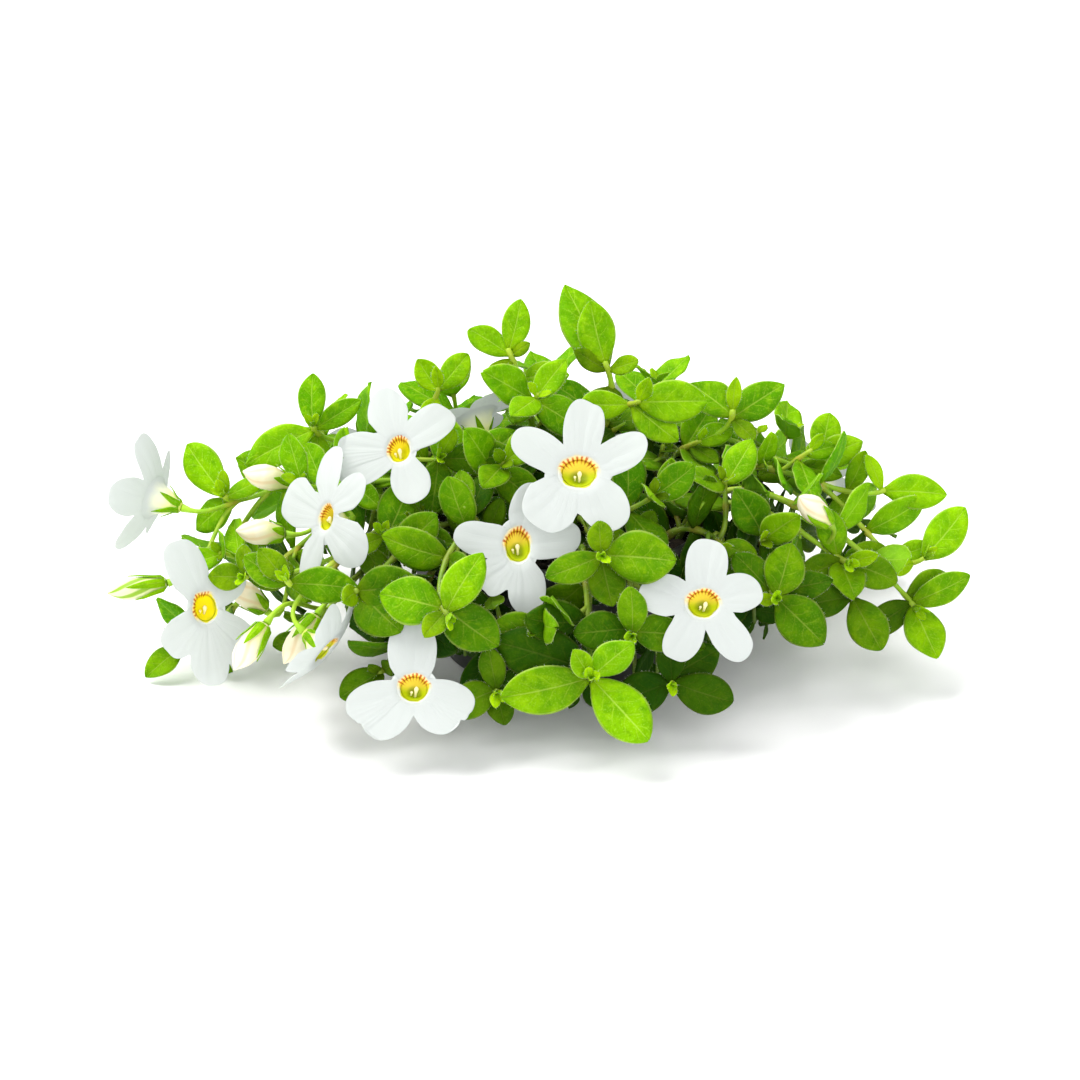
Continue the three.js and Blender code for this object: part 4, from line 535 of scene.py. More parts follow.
def lobe_blades(owner, place, facing, radius, reflex, lobes):
    side, up = bloom_axes(facing)
    return [make_blade(owner, place, on(swing(side, up, rad(angle)), facing, 0.10), facing, radius * reach,
                       radius * width * 2, reflex, 0.0, LOBE_STATIONS) for angle, width, reach in lobes]


def light_at(p):
    """The way a leaf at p turns its face: up and outward from the mound."""
    return unit((p[0] / 80, (p[1] - 14) / 50 - 0.25, p[2] / 70 + 0.3))


def shoot_frame(ahead):
    """Two directions across a shoot, the first as near to +X as can be."""
    x = (1, 0, 0) if abs(ahead[0]) < 0.93 else (0, 1, 0)
    side = unit(sub(x, mul(ahead, dot(x, ahead))))
    return side, cross(side, ahead)


class Plant:
    """What is laid out so far: stems' curves, leaves, and the rods and blades that others must clear."""
    def __init__(self):
        self.rods, self.blades, self.paths = [], [], {}
        self.corollas, self.buds, self.leaves = [], [], []

    def rod_blocked(self, owner, rods, skip=0, friend=None):
        if rods_meet_pot(rods, skip):
            return True
        others = [rod for rod in self.rods if rod["owner"] not in (owner, friend)]
        blades = [blade for blade in self.blades if blade["owner"] not in (owner, friend)]
        return (any(rods_touch(rod, other) for rod in rods for other in others)
                or any(blade_hits_rod(blade, rod) for rod in rods for blade in blades))

    def leaf_blocked(self, blade, avoid_own=False):
        owner, net = blade["owner"], blade["net"]
        return (any(in_pot(p, 0.9) for p in net["mid"] + net["rim"])
                or any(rod["owner"] != owner and blade_hits_rod(blade, rod) for rod in self.rods)
                or any((avoid_own or o["owner"] != owner) and blades_cross(blade, o) for o in self.blades))

    def hides_bloom(self, blade):
        """Whether a leaf would stand before a bloom's face, seen from the front."""
        points = [blade["centre"], *blade["net"]["mid"], *blade["net"]["rim"]]
        for c in [c for c in self.corollas if dot(c["facing"], TO_VIEW) >= FRONT_FACE]:
            for d in [sub(p, c["place"]) for p in points]:
                ahead = dot(d, TO_VIEW)
                if ahead > -1 and length(on(d, TO_VIEW, -ahead)) < c["radius"] * FACE_KEPT:
                    return True
        return False

    def keep_path(self, name, owner, curve, rods, radius):
        self.rods += rods
        self.paths[name] = dict(name=name, curve=curve, radius=radius, owner=owner)

    def keep_leaf(self, blade, **facts):
        blade.update(facts)
        self.blades.append(blade)
        self.leaves.append(blade)

    def lay_path(self, name, owner, ends, radius, skip, friend=None):
        """A path, bent aside where it would touch a neighbour, or left as it is if no way is clear."""
        p0, p1, p2, p3 = ends
        level = math.hypot(p3[0] - p0[0], p3[1] - p0[1]) > 0.5
        flat = unit(cross((0, 0, 1), sub(p3, p0))) if level else (1, 0, 0)
        for side, up in (*PATH_BENDS, (0, 0)):
            shift = add(mul(flat, side), (0, 0, up))
            curve = (p0, on(p1, shift, 0.6), add(p2, shift), p3)
            rods = rods_of(owner, path_points(curve, name == owner), radius)
            if not self.rod_blocked(owner, rods, skip, friend):
                break
        self.keep_path(name, owner, curve, rods, radius)

    def side_shoot(self, name, owner, curve, steps, bare, offsets, leaf, draw):
        """A short shoot with leaf pairs past its bare start, if its way is clear; says whether it grew."""
        rods = rods_of(owner, curve_marks(curve, steps), STALK_RADIUS)
        if self.rod_blocked(owner, rods):
            return False
        self.keep_path(name, owner, curve, rods, STALK_RADIUS)
        run, twist, size = path_run(curve), draw.between(0, 90), draw.between(*leaf)
        for j, back in enumerate(offsets):
            if back < run[-1] - bare:
                at = spot(curve, run, run[-1] - back)
                grow_pair(self, owner, *at, min(j, 3), size, twist + 90 * j, 1.0, draw, True)
        return True


def nearest(plant, part, allowed, cost):
    """The least cost of an allowed point in this part of the stems' marks, with its stem and the point."""
    starts = [(name, p) for name, *_ in STEMS for p in curve_marks(plant.paths[name]["curve"])[part]]
    return min(((cost(p), name, p) for name, p in starts if allowed(p)), key=lambda start: start[0])


def grow_pair(plant, owner, at, ahead, k, leaf, twist, openness, draw, avoid_own=False):
    """Two leaves opposite each other, each bent a little where it would cross something, or left out."""
    lit = light_at(at)
    side, other = shoot_frame(ahead)
    spread_jitter, size_jitter = draw.between(-8, 8), draw.between(0.88, 1.08)
    for turn in (0, 180):
        phase0 = twist + 90 * (k - 2) + turn + draw.between(-12, 12)
        droop, fold = draw.between(0.0, 0.2), draw.between(0.1, 0.32)
        for d_spread, d_phase, scale in LEAF_BENDS:
            spread = rad(PAIR_SPREAD[k] * openness + spread_jitter + d_spread)
            out = swing(side, other, rad(phase0 + d_phase))
            along = swing(ahead, out, spread)
            face = on(sub(mul(ahead, math.sin(spread)), mul(out, math.cos(spread))), lit, LIGHT_PULL)
            size = leaf * PAIR_SIZES[k] * size_jitter * scale
            if length(cross(along, face)) < 0.15:
                continue
            blade = make_blade(owner, at, along, face, size, size * LEAF_WIDTH, droop, fold, SMALL_STATIONS)
            if not plant.leaf_blocked(blade, avoid_own) and not plant.hides_bloom(blade):
                plant.keep_leaf(blade)
                break


def grow_head(plant, path, leaves, draw):
    """The listed leaves at the end of an outer shoot."""
    run = path_run(path["curve"])
    for slide, angle, lean, size, ratio in leaves:
        at = bezier(path["curve"], time_at(run, run[-1] - slide))
        droop, fold = draw.between(-0.02, 0.12), draw.between(0.05, 0.25)
        tilt = draw.between(-0.3, 0.3)
        for d_lean, d_angle, scale in HEAD_BENDS:
            flat = swing(ACROSS_VIEW, UP_VIEW, rad(angle + d_angle))
            along = swing(flat, TO_VIEW, rad(lean + d_lean))
            face = on(on(TO_VIEW, light_at(at), 0.5), cross(flat, TO_VIEW), tilt)
            long = size * scale
            blade = make_blade(path["owner"], at, along, face, long, long * ratio, droop, fold, LEAF_STATIONS)
            if not plant.leaf_blocked(blade):
                plant.keep_leaf(blade, shoot=path["name"])
                break


def grow_leaves(plant, path, first, last, leaf, twist, openness, draw):
    """Leaf pairs first to last of a shoot, counted from its tip."""
    curve = path["curve"]
    run = path_run(curve)
    for k in range(first, last):
        want = run[-1] - PAIR_OFFSETS[k] * (0.92 + 0.16 * draw.next())
        if want < run[-1] * 0.12:
            break
        grow_pair(plant, path["owner"], *spot(curve, run, want), k, leaf, twist, openness, draw)


def grow():
    """The whole plant: blooms and buds then stems, stalks, heads, leaf pairs and short shoots."""
    plant, draw = Plant(), Draw(20417)
    for name, stem, at, place, facing, radius, reflex, lobes in BLOOMS:
        f = unit(facing)
        base, mouth = on(place, f, -TUBE_LENGTH), on(place, f, -1.5)
        plant.blades += lobe_blades(name, place, f, radius, reflex, lobes)
        plant.rods += rods_of(name, [on(base, f, -0.6), mouth], CALYX_RADIUS)
        plant.rods += rods_of(name, [mouth, place], MOUTH_RADIUS)
        plant.corollas.append(dict(name=name, stem=stem, at=at, place=place, facing=f, lobes=lobes,
                                   radius=radius, reflex=reflex, base=base))
    for name, stem, at, place, facing, size in BUDS:
        f = unit(facing)
        base = on(place, f, -size / 2)
        plant.rods += rods_of(name, [on(base, f, -0.6), on(place, f, size / 2 - 1)], BUD_RADIUS + 0.9)
        plant.buds.append(dict(name=name, stem=stem, at=at, facing=f, size=size, base=base))
    for name, root, rise, (tip, heading, *_), sides in STEMS:
        start = (*root, SOIL_TOP - 6)
        gone = length(sub(tip, start))
        for lift in range(16):
            knee = (root[0] * 1.25, root[1] * 1.25, SOIL_TOP + rise + lift)
            ends = (start, knee, sub(tip, mul(unit(heading), gone * 0.30)), tip)
            if not rods_meet_pot(rods_of(name, path_points(ends, True), STEM_RADIUS), 2):
                break
        plant.lay_path(name, name, ends, STEM_RADIUS, 2)
    shoots = []
    for name, root, rise, (_, _, *shoot), sides in STEMS:
        main = plant.paths[name]["curve"]
        for i, (at, end, head, *side) in enumerate(sides):
            start, ahead = bezier(main, at), bezier_tangent(main, at)
            gone = length(sub(end, start))
            way = unit(add(mul(ahead, 0.6), unit(sub(end, start))))
            ends = (start, on(start, way, gone * 0.35), sub(end, mul(unit(head), gone * 0.35)), end)
            plant.lay_path(f"{name}_side_{i + 1}", name, ends, SIDE_RADIUS, 0)
            shoots.append((plant.paths[f"{name}_side_{i + 1}"], *side))
        shoots.append((plant.paths[name], *shoot))
    for part in plant.corollas + plant.buds:
        main = plant.paths[part["stem"]]["curve"]
        start, ahead = bezier(main, part["at"]), bezier_tangent(main, part["at"])
        end = on(part["base"], part["facing"], -0.9)
        gone = length(sub(end, start))
        lift = 0.5 if end[2] > start[2] + 3 else 0.0
        way = unit(add(add(mul(ahead, 0.5), unit(sub(end, start))), (0, 0, lift)))
        ends = (start, on(start, way, gone * 0.4), on(end, part["facing"], -gone * 0.4), end)
        plant.lay_path(part["name"] + "_stalk", part["stem"], ends, STALK_RADIUS, 0, part["name"])
    for path, *_ in shoots:
        grow_head(plant, path, HEADS.get(path["name"], ()), draw)
    plant.heads = len(plant.leaves)
    for path, pairs, *shoot in shoots:
        grow_leaves(plant, path, 3 if path["name"] in HEADS else 1, min(pairs, CAD_PAIRS), *shoot, draw)
    plant.core = len(plant.leaves)
    for path, pairs, *shoot in shoots:
        if path["name"] not in HEADS:
            grow_leaves(plant, path, 0, 1, *shoot, draw)
        grow_leaves(plant, path, CAD_PAIRS, pairs, *shoot, draw)
    fill(plant, Draw(911))
    trail(plant, Draw(3301))
    close_top(plant, Draw(517))
    return plant


def fill(plant, draw):
    """Short axillary shoots all along the stems, which close the mound."""
    for name, *_ in STEMS:
        curve = plant.paths[name]["curve"]
        run = path_run(curve)
        want, turn = 9.0, 1
        while want < run[-1] - 12:
            at, ahead = spot(curve, run, want)
            if (at[0] / 60) ** 2 + (at[1] / 42) ** 2 + ((at[2] - 2) / 44) ** 2 > 1:
                break
            lit = light_at(at)
            side = unit(cross(ahead, lit)) if length(cross(ahead, lit)) > 0.1 else (1, 0, 0)
            way = unit(on(add(mul(lit, 0.9), mul(side, turn * draw.between(0.3, 1.0))), ahead, 0.35))
            reach = draw.between(3.5, 7.5)
            end = on(at, way, reach)
            rods = rods_of(name, [at, end], STALK_RADIUS)
            twist = draw.between(0, 180)
            if not plant.rod_blocked(name, rods):
                ends = (at, on(at, way, reach * 0.3), on(end, way, -reach * 0.3), end)
                plant.keep_path(f"{name}_fill_{round(want)}", name, ends, rods, STALK_RADIUS)
                for k, back in enumerate((0.3, 1.6, 3.2)):
                    leaf = draw.between(9.5, 13)
                    grow_pair(plant, name, on(end, way, -back), way, k, leaf, twist, 1.0, draw, True)
            turn = -turn
            want += draw.between(4.5, 7.0)


def trail(plant, draw):
    """Short side shoots that hang over the pot's rim all round and hide its wall."""
    for k in range(TRAIL_COUNT):
        turn = 360 * (k + draw.between(-0.3, 0.3)) / TRAIL_COUNT
        out = (math.cos(rad(turn)), math.sin(rad(turn)), 0)
        over = add(mul(out, draw.between(33, 35.5)), (0, 0, draw.between(28, 31)))
        _, name, start = nearest(plant, slice(15, 50),
                                 lambda p: p[2] > TRAIL_LOWEST and math.hypot(p[0], p[1]) < TRAIL_REACH,
                                 lambda p: length(sub(p, over)) + 0.5 * abs(p[2] - TRAIL_HEIGHT))
        for aside in (0, 5, -5, 10, -10):
            way = (math.cos(rad(turn) + rad(aside)), math.sin(rad(turn) + rad(aside)), 0)
            low = add(mul(way, draw.between(35, 40)), (0, 0, draw.between(7, 14)))
            ends = (start, add(mul(add(start, over), 0.5), (0, 0, 2.5)), on(over, way, 2.0), low)
            if plant.side_shoot(f"{name}_trail_{k}", name, ends, 6, 4, TRAIL_PAIRS, (10, 12.5), draw):
                break


def close_top(plant, draw):
    """Short shoots in the middle of the mound, where the soil would show from above."""
    for k, (x, y) in enumerate((x, y) for x in range(-14, 28, 7) for y in range(-16, 20, 7)):
        goal = (x + draw.between(-2.5, 2.5), y + draw.between(-2.5, 2.5), draw.between(31, 37))
        d, name, start = nearest(plant, slice(8, 50),
                                 lambda p: p[2] > TOP_LOWEST and length(sub(p, goal)) > TOP_NEAREST,
                                 lambda p: length(sub(p, goal)))
        rise = (0, 0, d * 0.35)
        ends = (start, add(on(mul(start, 0.7), goal, 0.3), rise), on(goal, rise, -0.6), goal)
        plant.side_shoot(f"{name}_top_{k}", name, ends, 4, 2, TOP_PAIRS, (10, 13), draw)


def find_light(plant):
    """How much light reaches each leaf, from 0 deep in the mound to 1, by the leaves that stand over it."""
    centres = np.array([b["centre"] for b in plant.leaves])
    sizes = np.array([b["size"] for b in plant.leaves])
    over = np.zeros(len(centres))
    for way, share in (((-0.15, 0.1, 0.98), 0.6), ((0.0, -0.75, 0.66), 0.6), ((-0.6, -0.2, 0.77), 0.4)):
        way = np.array(way) / np.linalg.norm(way)
        gap = centres[None] - centres[:, None]
        ahead = gap @ way
        aside = np.linalg.norm(gap - ahead[..., None] * way, axis=2)
        over += share * ((ahead > 1.5) & (aside < sizes[None] * 0.42)).sum(1)
    return np.exp(-0.30 * over)


class Shape:
    """A piece's mesh as it grows: points in mm with a UV pair and four tones each, and a material a face."""
    def __init__(self):
        self.points, self.uvs, self.tones, self.faces, self.slots = [], [], [], [], []
        self.count = 0

    def add(self, points, uvs, tones, faces, slot=0):
        points = np.asarray(points, float).reshape(-1, 3)
        n = len(points)
        self.points.append(points)
        self.uvs.append(np.broadcast_to(np.asarray(uvs, float).reshape(-1, 2), (n, 2)))
        self.tones.append(np.broadcast_to(np.asarray(tones, float).reshape(-1, 4), (n, 4)))
        self.faces += [[i + self.count for i in f] for f in faces]
        self.slots += [slot] * len(faces)
        self.count += n

    def piece(self, name, materials, slot, *nodes):
        """Makes the piece, which rides on the root body and replaces these nodes of the CAD."""
        mesh = bpy.data.meshes.new(name)
        mesh.from_pydata((np.concatenate(self.points) * MM).tolist(), [], self.faces)
        index = np.empty(len(mesh.loops), np.int32)
        mesh.loops.foreach_get("vertex_index", index)
        uv = mesh.uv_layers.new(name="UVMap")
        uv.data.foreach_set("uv", np.concatenate(self.uvs)[index].ravel().astype(np.float32))
        tone = mesh.color_attributes.new("Tone", "FLOAT_COLOR", "POINT")
        tone.data.foreach_set("color", np.concatenate(self.tones).ravel().astype(np.float32))
        mesh.polygons.foreach_set("material_index", np.array(self.slots, np.int32))
        mesh.polygons.foreach_set("use_smooth", np.ones(len(self.slots), bool))
        for material in materials:
            mesh.materials.append(material)
        mesh.update()
        piece = bpy.data.objects.new(name, mesh)
        bpy.context.scene.collection.objects.link(piece)
        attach(piece, "root")
        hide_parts(*nodes)


@cache
def sheet_faces(rows, cols, goes_round):
    """Faces of a thin closed sheet: its upper grid, then the inner points of the grid below it."""
    margin = () if goes_round else (0, cols - 1)

    def low(i, j):
        if i in (0, rows - 1) or j in margin:
            return i * cols + j
        return rows * cols + (i - 1) * (cols - len(margin)) + j - len(margin) // 2

    faces = []
    for i in range(rows - 1):
        for j in range(cols if goes_round else cols - 1):
            k = (j + 1) % cols
            faces.append((i * cols + j, (i + 1) * cols + j, (i + 1) * cols + k, i * cols + k))
            faces.append((low(i, j), low(i, k), low(i + 1, k), low(i + 1, j)))
    return faces


def add_sheet(shape, upper, lower, uv, tone, goes_round=False):
    """A thin closed sheet from its upper and lower grids of points, which meet at the margin."""
    inner = slice(1, -1), slice(None) if goes_round else slice(1, -1)
    below = tone[inner].copy()
    below[..., 2] = 1
    pairs = (upper, lower[inner]), (uv, uv[inner]), (tone, below)
    layers = [np.concatenate([part.reshape(-1, part.shape[-1]) for part in pair]) for pair in pairs]
    shape.add(*layers, sheet_faces(*upper.shape[:2], goes_round))


def outline(u, a, b):
    """A leaf's half width over its greatest, from base to tip: a and b set how full its two ends are."""
    peak = a / (a + b)
    return (u ** a) * (1 - u) ** b / (peak ** a * (1 - peak) ** b)


def daylight(points):
    """How open points lie, from 0.25 inside the mound to 1 at its surface; it sets the painted shade of the
    leaves and stems inside.
    """
    out = np.linalg.norm(points / MOUND, axis=-1)
    return 0.25 + 0.75 * np.clip((out - 0.52) / 0.40, 0, 1)


def add_leaf(shape, b, rows, cols, hairs, young, lit=1.0):
    """A veined, puckered and waved leaf in its blade's place, with hairs along its margin."""
    u = (1 - (1 - np.linspace(0, 0.965, rows)) ** 2)[:, None]
    v = np.linspace(-1, 1, cols)[None, :]
    size, width = b["size"], b["width"]
    fullness = rng.uniform(0.72, 0.92), rng.uniform(0.64, 0.88)
    half = np.maximum(outline(u, *fullness), 0.13 * (1 - u) ** 3 + 0.02) * width / 2
    y = v * half + rng.uniform(-0.10, 0.10) * size * u * u
    vein = (u * 6.2 - np.abs(v) * 1.25 * half / (width / 2)) * 2 * math.pi
    pucker = 0.034 * width * np.cos(vein) * np.abs(v) ** 0.7 * (1 - v ** 4) * np.sin(math.pi * u) ** 0.5
    waves, phase = rng.uniform(1.0, 2.4), rng.uniform(0, 6.28)
    wave = 0.030 * width * np.sin(2 * math.pi * waves * u + phase + 1.2 * np.sign(v)) * v * v
    curl = rng.uniform(-0.10, 0.16)
    along_swell = np.sin(3.4 * u + rng.uniform(0, 6.28))
    swell = 0.045 * width * along_swell * np.sin(2.6 * v + rng.uniform(0, 6.28)) * np.sqrt(u)
    bend = -b["droop"] * size * u * u + b["fold"] * (np.sqrt((v * half) ** 2 + 0.2) - 0.45)
    z = (bend + pucker + wave + swell - curl * size * np.clip(u - 0.6, 0, 1) ** 2
         - rng.uniform(0.03, 0.09) * width * v ** 4)
    groove = 0.022 * width * np.exp(-(v / 0.12) ** 2)
    thick = min(0.34, 0.036 * size + 0.05) * np.sqrt(1 - 0.9 * v ** 4) / 2
    x = size * u * np.ones_like(v)
    base, along, across, normal = (np.array(b[k]) for k in ("base", "along", "across", "normal"))

    def place(h):
        return base + x[..., None] * along + y[..., None] * across + h[..., None] * normal
    upper, lower = place(z + thick - groove), place(z - thick - 1.6 * groove)
    uv = np.stack([u * np.ones_like(v), 0.5 + 0.5 * v * np.ones_like(u)], -1)
    tone = np.zeros((rows, cols, 4))
    tone[..., 0], tone[..., 1] = rng.uniform(0, 1), young
    # The fourth tone sets the leaf's painted shade: darker towards its base, deep in the mound and where little
    # light reaches it
    tone[..., 3] = lit * (0.72 + 0.28 * np.clip(u * 2.2, 0, 1)) * daylight(upper)
    add_sheet(shape, upper, lower, uv, tone)
    k = rng.integers(1, rows - 1, hairs)
    edge = rng.integers(0, 2, hairs) * (cols - 1)
    f = rng.uniform(0, 1, hairs)[:, None]
    roots = upper[k, edge] * f + upper[k - 1, edge] * (1 - f)
    out = np.where(edge[:, None] > 0, 1, -1) * across
    ways = out + 0.35 * along + rng.normal(0, 0.25, (hairs, 3))
    add_hairs(shape, roots, ways, rng.uniform(0.18, 0.42, hairs))


def add_hairs(shape, roots, ways, sizes):
    """Thin tapered hairs, each a closed spike with three sides."""
    ways = ways / np.linalg.norm(ways, axis=1)[:, None]
    a = np.cross(ways, np.where(np.abs(ways[:, :1]) < 0.8, [[1.0, 0, 0]], [[0, 1.0, 0]]))
    a /= np.linalg.norm(a, axis=1)[:, None]
    b = np.cross(ways, a)
    tips = roots + ways * sizes[:, None]
    ring = [roots - 0.05 * ways + HAIR_RADIUS * (math.cos(q) * a + math.sin(q) * b)
            for q in (0, 2.094, 4.189)]
    spike = (0, 1, 3), (1, 2, 3), (2, 0, 3), (0, 2, 1)
    faces = [[4 * i + k for k in corners] for i in range(len(roots)) for corners in spike]
    shape.add(np.stack(ring + [tips], 1), (0.5, 0.5), (0.5, 0.5, 0, 0), faces, 1)


def tube_frames(points):
    """A path's ways ahead, and directions across it that don't twist."""
    ways = np.gradient(points, axis=0)
    ways /= np.linalg.norm(ways, axis=1)[:, None]
    first = np.cross(ways[0], [0.3, 0.2, 1.0] if abs(ways[0][2]) < 0.9 else [1.0, 0.1, 0])
    sides = [first / np.linalg.norm(first)]
    for w in ways[1:]:
        n = sides[-1] - w * np.dot(sides[-1], w)
        sides.append(n / np.linalg.norm(n))
    sides = np.array(sides)
    return ways, sides, np.cross(ways, sides)


@cache
def ring_faces(rings, sides):
    """Faces of a row of rings of points, closed at each end by a fan round a middle point."""
    round_pairs = [(j, (j + 1) % sides) for j in range(sides)]
    faces = []
    for i in range(rings - 1):
        low, high = i * sides, (i + 1) * sides
        faces += [(low + j, low + k, high + k, high + j) for j, k in round_pairs]
    last, foot = (rings - 1) * sides, rings * sides
    for j, k in round_pairs:
        faces += [(k, j, foot), (last + j, last + k, foot + 1)]
    return faces


def circle(sides):
    """The angles of a ring's points."""
    return np.arange(sides) * 2 * math.pi / sides


def add_tube(shape, points, radii, tones, sides, slot=0, sections=1.0):
    """A closed tube through points, with a rounded cap at each end."""
    points = np.asarray(points, float)
    ways, a, b = tube_frames(points)
    n, q = len(points), circle(sides)
    ring = points[:, None] + (np.asarray(radii)[:, None] * sections)[..., None] * (
        np.cos(q)[None, :, None] * a[:, None] + np.sin(q)[None, :, None] * b[:, None])
    ends = [points[0] - ways[0] * radii[0] * 0.4, points[-1] + ways[-1] * radii[-1] * 0.4]
    tones = np.broadcast_to(tones, (n, 4))
    tone = np.concatenate([np.repeat(tones, sides, axis=0), tones[:1], tones[-1:]])
    uv = np.stack([np.repeat(np.linspace(0, 1, n), sides), np.tile(0.5 + 0.5 * np.cos(q), n)], -1)
    uv = np.concatenate([uv, [[0, 0.5], [1, 0.5]]])
    shape.add(np.concatenate([ring.reshape(-1, 3), ends]), uv, tone, ring_faces(n, sides), slot)


def turned(profile, sides):
    """Points and faces of a closed turned form, by its profile (radius, height) from the axis to the axis."""
    ring = np.array([[(r * math.cos(q), r * math.sin(q), h) for q in circle(sides)]
                     for r, h in profile[1:-1]])
    points = np.concatenate([ring.reshape(-1, 3), [(0, 0, profile[0][1]), (0, 0, profile[-1][1])]])
    return points, ring_faces(len(ring), sides)


class Output:
    """A node's output in its tree; arithmetic with it makes Math nodes."""
    def __init__(self, tree, socket):
        self.tree, self.socket = tree, socket

    def math(self, operation, *others):
        return wire(self.tree, "ShaderNodeMath", self, *others, operation=operation)

    def __add__(self, other):
        return self.math("ADD", other)

    def __sub__(self, other):
        return self.math("SUBTRACT", other)

    def __rsub__(self, other):
        return wire(self.tree, "ShaderNodeMath", other, self, operation="SUBTRACT")

    def __mul__(self, other):
        return self.math("MULTIPLY", other)


def plug(socket, value):
    """Links an output to a node's input, or sets the input to a number or a colour."""
    if isinstance(value, Output):
        value.tree.links.new(value.socket, socket)
    else:
        socket.default_value = (*value, 1) if isinstance(value, tuple) else value


def set_inputs(node, **values):
    for key, value in values.items():
        plug(node.inputs[key.replace("_", " ")], value)


def wire(tree, kind, *values, out=0, **settings):
    """The output of a new node, with its first inputs set or linked."""
    made = tree.nodes.new(kind)
    for key, value in settings.items():
        setattr(made, key, value)
    for socket, value in zip(made.inputs, values):
        plug(socket, value)
    return Output(tree, made.outputs[out])


def wire_named(tree, kind, **values):
    """The output of a new node, with its inputs set or linked by name."""
    made = tree.nodes.new(kind)
    set_inputs(made, **values)
    return Output(tree, made.outputs[0])


def step(value, low, high, start=0.0, end=1.0):
    """Goes smoothly from start to end as value goes from low to high."""
    return wire(value.tree, "ShaderNodeMapRange", value, low, high, start, end,
                interpolation_type="SMOOTHSTEP")


def stripes(value):
    """How far a value is from the middle between two whole numbers: 0 there, and 0.5 at each whole number."""
    return (value.math("FRACT") - 0.5).math("ABSOLUTE")


def shade(r, g, b):
    """A colour given as it looks on screen, as the linear numbers that Blender takes."""
    return tuple(((c / 255 + 0.055) / 1.055) ** 2.4 if c > 10 else c / 255 / 12.92 for c in (r, g, b))


def blend(factor, a, b):
    """The colour a where factor is 0 and b where it is 1."""
    made = factor.tree.nodes.new("ShaderNodeMix")
    made.data_type = "RGBA"
    for k, value in ((0, factor), (6, a), (7, b)):
        plug(made.inputs[k], value)
    return Output(factor.tree, made.outputs[2])


def paint(colour, *layers):
    """A colour with screen colours laid over it one after another, each as far as its factor says."""
    for factor, seen in layers:
        colour = blend(factor, colour, shade(*seen))
    return colour


def bump(height, distance, strength):
    """A normal that follows a height, with the distance in millimetres."""
    return wire_named(height.tree, "ShaderNodeBump", Strength=strength, Distance=distance * MM, Height=height)


def noise(tree, scale, detail=3.0, rough=0.5):
    where = wire(tree, "ShaderNodeTexCoord", out=3)
    return wire_named(tree, "ShaderNodeTexNoise", Vector=where, Scale=scale, Detail=detail, Roughness=rough)


def tones(tree):
    """The four tone numbers that a Shape keeps at each point."""
    read = tree.nodes.new("ShaderNodeAttribute")
    read.attribute_name = "Tone"
    split = tree.nodes.new("ShaderNodeSeparateColor")
    tree.links.new(read.outputs[0], split.inputs[0])
    return [Output(tree, socket) for socket in (*split.outputs[:3], read.outputs[3])]


def plane_uv(tree):
    split = tree.nodes.new("ShaderNodeSeparateXYZ")
    plug(split.inputs[0], wire(tree, "ShaderNodeUVMap", uv_map="UVMap"))
    return [Output(tree, socket) for socket in split.outputs[:2]]


def new_material(name):
    made = bpy.data.materials.new(name)
    made.use_nodes = True
    return made, made.node_tree


def surface(made, glow=None, share=0.0, **values):
    """Sets a material's surface, and lets a share of the light through it in the colour glow."""
    tree = made.node_tree
    front = tree.nodes["Principled BSDF"]
    set_inputs(front, **values)
    if share:
        through = wire(tree, "ShaderNodeBsdfTranslucent", glow)
        mixed = wire(tree, "ShaderNodeMixShader", share, Output(tree, front.outputs[0]), through)
        plug(tree.nodes["Material Output"].inputs[0], mixed)
    return made


def leaf_material():
    made, t = new_material("Leaf")
    u, v = plane_uv(t)
    s = (v - 0.5).math("ABSOLUTE") * 2.0
    pick, young, under, lit = tones(t)
    broad, patch, fine, dots = noise(t, 240, 2.0), noise(t, 620, 4.0, 0.6), noise(t, 1700), noise(t, 3600)
    rib = step(s + u * 0.01, 0.015, 0.065, 0.60, 0.0)
    veins = stripes(u * 5.2 - s.math("POWER", 0.85) * 1.35 + (patch - 0.5) * 0.55 + 4.5)
    vein = step(veins, 0.01, 0.09, 1.0, 0.0) * step(s, 0.35, 0.85, 1.0, 0.0)
    colour = paint(blend(pick, shade(92, 166, 0), shade(150, 206, 0)),
                   (young, (188, 226, 0)),
                   (step(broad, 0.36, 0.66, 0.0, 0.48), (66, 144, 0)),
                   (step(patch, 0.50, 0.70, 0.0, 0.50), (178, 224, 16)),
                   (step(patch, 0.28, 0.44, 0.42, 0.0), (56, 128, 0)),
                   (step(u, 0.0, 0.26, 0.42, 0.0), (180, 214, 10)),
                   (vein * 0.42, (190, 232, 60)),
                   (rib, (206, 238, 90)),
                   # pale margin: the colour of its fine hairs, with a painted sheen
                   (step(s, 0.90, 0.975, 0.0, 0.72), (216, 242, 120)),
                   (step(dots, 0.56, 0.66, 0.0, 0.30), (204, 238, 90)),
                   (step(dots, 0.34, 0.44, 0.22, 0.0), (48, 118, 0)),
                   (under * 0.35, (150, 200, 70)),
                   # painted shade: leaves that get little light turn near black-green
                   (step(lit, 0.06, 0.80, 0.94, 0.0), (14, 60, 0)))
    height = fine * 0.30 + patch * 0.9 - (vein * 0.5 + rib)
    # painted light: well-lit leaves let through a brighter yellow-green
    glow = paint(colour, (step(lit, 0.2, 0.9, 0.0, 0.5), (206, 244, 0)))
    return surface(made, glow, 0.40, Base_Color=colour, Roughness=step(fine, 0.3, 0.7, 0.46, 0.60),
                   Normal=bump(height, 0.16, 0.75), Specular_IOR_Level=0.05,
                   Sheen_Weight=0.10, Sheen_Roughness=0.4, Sheen_Tint=(0.60, 1.0, 0.05))


